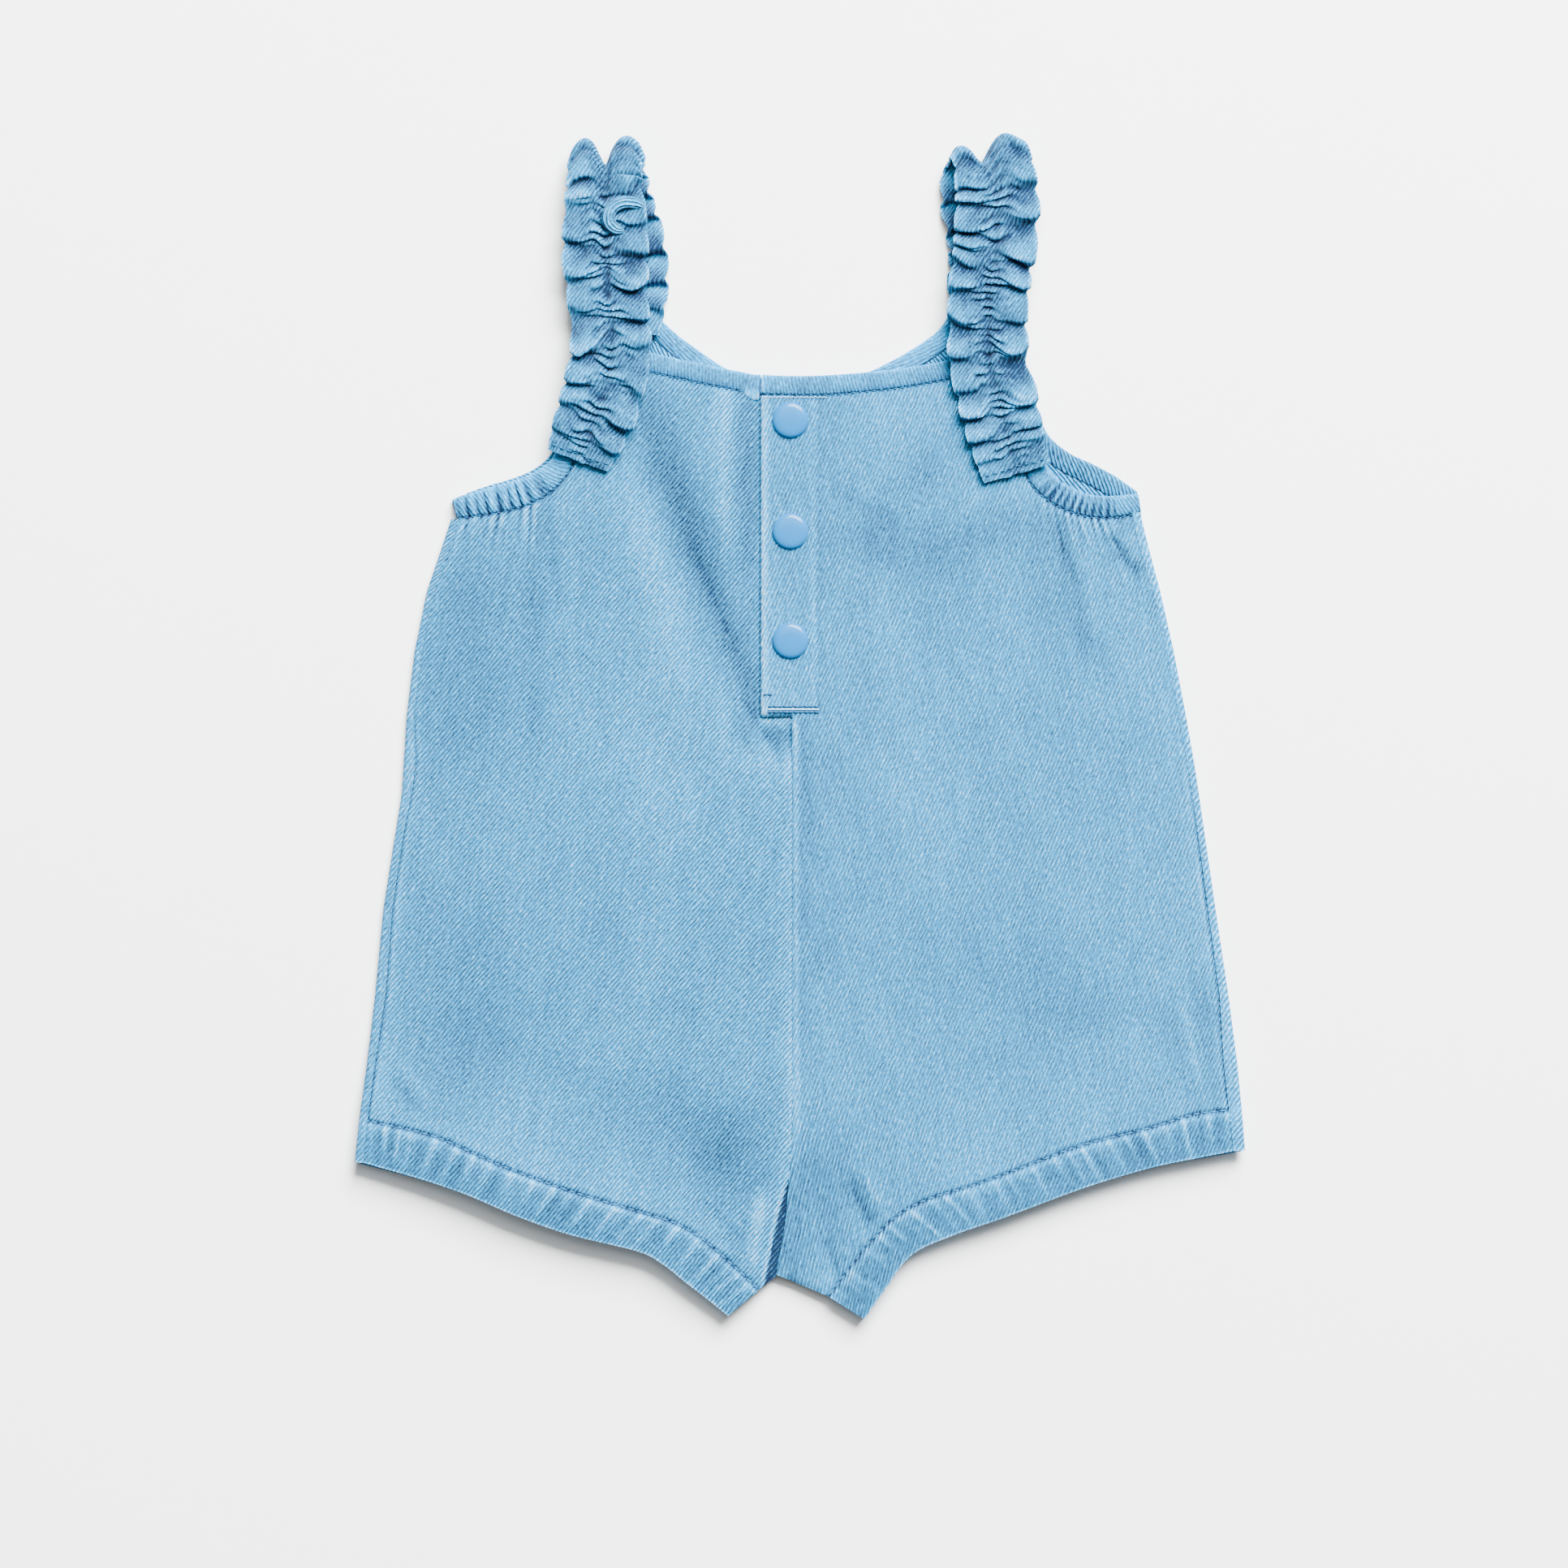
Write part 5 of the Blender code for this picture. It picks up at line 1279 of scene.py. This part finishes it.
def snapCap(word, y):
    # a section turned about its own upright line, with a pole at both ends
    section = curveThrough(snaps["section"], np.linspace(0, 1, 34))
    angles = np.linspace(0, 2 * np.pi, 72, endpoint=False)
    ring = section[1:-1, 0][:, None] * snaps["radius"]
    x = snaps["x"] + ring * np.cos(angles)[None]
    z = np.broadcast_to(snaps["foot"] + section[1:-1, 1][:, None] * snaps["height"], x.shape)
    body = np.dstack([x, y + ring * np.sin(angles)[None], z]).reshape(-1, 3)
    poles = [(snaps["x"], y, snaps["foot"] + snaps["height"]), (snaps["x"], y, snaps["foot"])]
    points = np.vstack([body, poles])
    quads, top, foot = tubeFaces(len(section) - 2, len(angles))
    faces = np.roll(quads[:, ::-1], 1, axis=1).tolist()
    faces += np.stack([np.full(len(top), len(body)), top, np.roll(top, -1)], axis=1).tolist()
    faces += np.stack([np.full(len(foot), len(body) + 1), np.roll(foot, -1), foot], axis=1).tolist()
    piece = makePiece("snap_cap_" + word + "_painted", points, faces, "snap")
    standFor(piece, "snap_cap_" + word)


for word, y in snaps["y"].items():
    snapCap(word, y)
print("snap caps made")


# Stitching


stitches = {
    # pitch and length
    "hemStep": (2.9, 2.15),
    "seamStep": (2.3, 1.5),
    "backStep": (2.9, 2.1),
    "strapStep": (2.4, 1.7),
    # radius of the thread
    "radius": 0.24,
    "fine": 0.17,
    "rise": 0.16,  # how far each stitch bows out of its groove
    # zigzags of the placket: left x, right x, y, half height, pitch
    "bar": (-10.6, 6.3, 5.6, 0.42, 0.62),
    "barEdges": ((-10.8, 6.5, 6.6, 0.1, 3.4), (-10.8, 6.5, 4.7, 0.1, 3.4)),
    "tack": (-12.3, -8.3, 10.6, 0.1, 3.0),
    "neckLoops": (-12.2, 9.0, 109.4, 0.35, 1.5),
}


def segmentsAlong(line, pitch, length):
    # evenly spaced stretches of a line, five points to each
    run = runAlong(line)
    count = max(int((run[-1] - 0.4) // pitch), 1)
    middles = (np.arange(count) + 0.5) * run[-1] / count
    spots = middles[:, None] + np.linspace(-0.5, 0.5, 5)[None] * length
    return np.stack([np.interp(spots, run, column) for column in line.T], axis=2)


def stitching(name, segments, up, radius, material):
    # every stitch is a tapered thread of five rings of six points, bowed in its middle; all are one mesh
    along = unit(segments[:, -1] - segments[:, 0])
    side = unit(np.stack([-along[:, 1], along[:, 0], 0 * along[:, 0]], axis=1))
    bow = np.array([-0.4, 0.7, 1.0, 0.7, -0.4]) * stitches["rise"]
    thick = np.array([0.45, 0.95, 1.05, 0.95, 0.45]) * radius
    angles = np.linspace(0, 2 * np.pi, 6, endpoint=False)
    centre = segments + np.array([0, 0, 1.0]) * (up * bow)[None, :, None]
    ring = np.cos(angles)[:, None] * side[:, None, None] + np.sin(angles)[:, None] * np.array([0, 0, 1.0])
    points = centre[:, :, None] + ring * thick[None, :, None, None]
    quads, firstEnd, lastEnd = tubeFaces(len(bow), len(angles))
    base = np.arange(len(segments))[:, None] * len(bow) * len(angles)
    faces = (base[:, :, None] + quads).reshape(-1, 4).tolist()
    faces += (base + firstEnd[::-1]).tolist() + (base + lastEnd).tolist()
    piece = makePiece(name, points.reshape(-1, 3), faces, material)
    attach(piece, "root")


def shifted(line, across, lift):
    # a line moved sideways in plan, to its left, and up
    moved = sideways(line, across)
    return np.column_stack([moved, line[:, 2] + lift])


def sewTheHems():
    for side, word in sideWords.items():
        outer, frontRow = frontSheets[side]
        under, backRow = backSheets[side]
        line = outer[frontRow, front["inseamColumns"] :]
        overSide = line[-1] + unit(line[-1] - line[-3]) * 2.2
        for where, sewn, up in (
            ("front_", np.vstack([line, overSide]) + (0, 0, 0.12), 1),
            ("back_", under[backRow, back["inseamColumns"] :] + (0, 0, 0.02), -1),
        ):
            segments = segmentsAlong(sewn, *stitches["hemStep"])
            stitching("hem_stitches_" + where + word, segments, up, stitches["radius"], "thread")


def sewTheBindings():
    # in the photo these stitches lie in the seam and are darker than the cloth
    columns, rows = front["neckColumns"], []
    for side in (-1, 1):
        top = frontSheets[side][0][0] + (0, 0, 0.1)
        rows += [segmentsAlong(stretch, *stitches["seamStep"]) for stretch in (top[:columns], top[columns:])]
    xs = np.linspace(front["placketEdgeX"] + 1.0, cut["centreX"], 30)
    placketTop = np.column_stack([xs, neckEdge(xs), xs * 0 + front["overlapLow"] + 1.15])
    rows.append(segmentsAlong(placketTop, *stitches["seamStep"]))
    stitching("binding_stitches_front", np.concatenate(rows), 1, stitches["fine"], "threadDark")
    columns, rows = back["neckColumns"], []
    for side in (-1, 1):
        top = backSheets[side][0][0]
        neckLine, armLine = (shifted(edge, side * 0.9, 0.1) for edge in (top[:columns], top[columns:-1]))
        rows += [segmentsAlong(stretch, *stitches["backStep"]) for stretch in (neckLine[:-3], armLine[3:])]
    stitching("binding_stitches_back", np.concatenate(rows), -1, stitches["fine"], "thread")


def zigzag(left, right, y, half, pitch, z):
    # a line of slanting stitches, five points to each
    x = np.arange(left, right, pitch / 2)
    ys = y + half * np.where(np.arange(len(x)) % 2, 1, -1)
    corners = np.column_stack([x, ys, np.full(len(x), z)])
    share = np.linspace(0, 1, 5)[None, :, None]
    return corners[:-1, None] * (1 - share) + corners[1:, None] * share


def sewThePlacket():
    # a zigzag bar between two dark lines holds the placket's foot, and pale loops run below the neck tape; the
    # dark lines are shaded thread that also stands for the painted shadow in the gaps beside the bar
    surface = front["overlapLow"] + cut["wall"] + 0.32
    stitching("placket_bar_stitches", zigzag(*stitches["bar"], surface + 0.05), 1, 0.16, "threadPale")
    edges = [zigzag(*row, surface + 0.05) for row in stitches["barEdges"]]
    edges.append(zigzag(*stitches["tack"], surface))
    stitching("placket_bar_edges", np.concatenate(edges), 1, 0.32, "threadDark")
    stitching("neck_loop_stitches", zigzag(*stitches["neckLoops"], surface - 0.08), 1, 0.13, "threadPale")


def sewTheStraps():
    lines = [sheet[8, 2:-2] + (0, 0, 0.1) for sheet in strapSheets.values()]
    rows = [segmentsAlong(line, *stitches["strapStep"]) for line in lines]
    stitching("strap_end_stitches_front", np.concatenate(rows), 1, stitches["fine"], "threadDark")
    rows = []
    for word in ("left", "right"):
        x, _, _, half = straps[word]["back"][-1]
        xs = np.linspace(x - (half - 2.5), x + (half - 2.5), 20)
        for y in (132.5, 136.0):
            line = np.column_stack([xs, xs * 0 + y, xs * 0 + 0.1])
            rows.append(segmentsAlong(line, *stitches["backStep"]))
    stitching("strap_end_stitches_back", np.concatenate(rows), -1, stitches["fine"], "thread")


sewTheHems()
sewTheBindings()
sewThePlacket()
sewTheStraps()
print("stitching made")


# Table, light and camera


studio = {
    "paper": ("#F6F8F7", "#F9FAF9"),
    "paperHalf": 3000.0,
    "paperDrop": 0.3,  # just under the floor, so that no face lies in it
    "lens": 180.0,
    "frameWidth": 521.6,
    "aim": (-5.4, -19.2, 4.0),
    "key": {"place": (0.95, 2.45, 2.3), "size": 2.3, "power": 1085.0},
    "fill": {"place": (0.0, 1.0, 2.3), "size": 1.4, "power": 30.0},
    "sky": (0.28, "#FFF8EE"),
}


def tableTop():
    # white paper, far larger than the view: matt, with faint fibre clouds
    material, tree, shader = newMaterial("matt_white_paper")
    place = addNode(tree, "ShaderNodeTexCoord", output="Object")
    fibre = addNode(tree, "ShaderNodeTexNoise", {"Vector": place, "Scale": 60.0, "Detail": 4.0})
    low, high = (linearColour(colour) for colour in studio["paper"])
    tint = addNode(tree, "ShaderNodeMix", {"Factor": fibre, 6: low, 7: high}, output=2, data_type="RGBA")
    tree.links.new(tint, shader.inputs["Base Color"])
    setFinish(shader, {"Roughness": 0.95, "Specular IOR Level": 0.1})
    half, drop = studio["paperHalf"], -studio["paperDrop"]
    mesh = bpy.data.meshes.new("paper_table")
    corners = [(-half, -half, drop), (half, -half, drop), (half, half, drop), (-half, half, drop)]
    mesh.from_pydata([[value * mm for value in corner] for corner in corners], [], [[0, 1, 2, 3]])
    mesh.materials.append(material)
    table = bpy.data.objects.new("paper_table", mesh)
    bpy.context.collection.objects.link(table)


def softbox(name, look):
    lamp = bpy.data.lights.new(name, "AREA")
    lamp.shape = "SQUARE"
    lamp.size = look["size"]
    lamp.energy = look["power"]
    box = bpy.data.objects.new(name, lamp)
    bpy.context.collection.objects.link(box)
    box.location = look["place"]
    aim = -np.array(look["place"])
    level = math.hypot(aim[0], aim[1])
    box.rotation_euler = (math.atan2(level, -aim[2]), 0.0, math.atan2(aim[1], aim[0]) - math.pi / 2)


tableTop()
softbox("window_key", studio["key"])
softbox("ceiling_fill", studio["fill"])
world = bpy.data.worlds.new("studio_room")
world.use_nodes = True
skyShader = world.node_tree.nodes["Background"]
skyShader.inputs["Strength"].default_value = studio["sky"][0]
skyShader.inputs["Color"].default_value = linearColour(studio["sky"][1])
bpy.context.scene.world = world

camera = bpy.data.objects.new("overhead_camera", bpy.data.cameras.new("overhead_camera"))
camera.data.lens = studio["lens"]
camera.data.clip_end = 20.0
aimX, aimY, aimZ = (value * mm for value in studio["aim"])
camera.location = (aimX, aimY, aimZ + studio["frameWidth"] * mm * studio["lens"] / camera.data.sensor_width)
bpy.context.collection.objects.link(camera)
bpy.context.scene.camera = camera

print("scene ready")
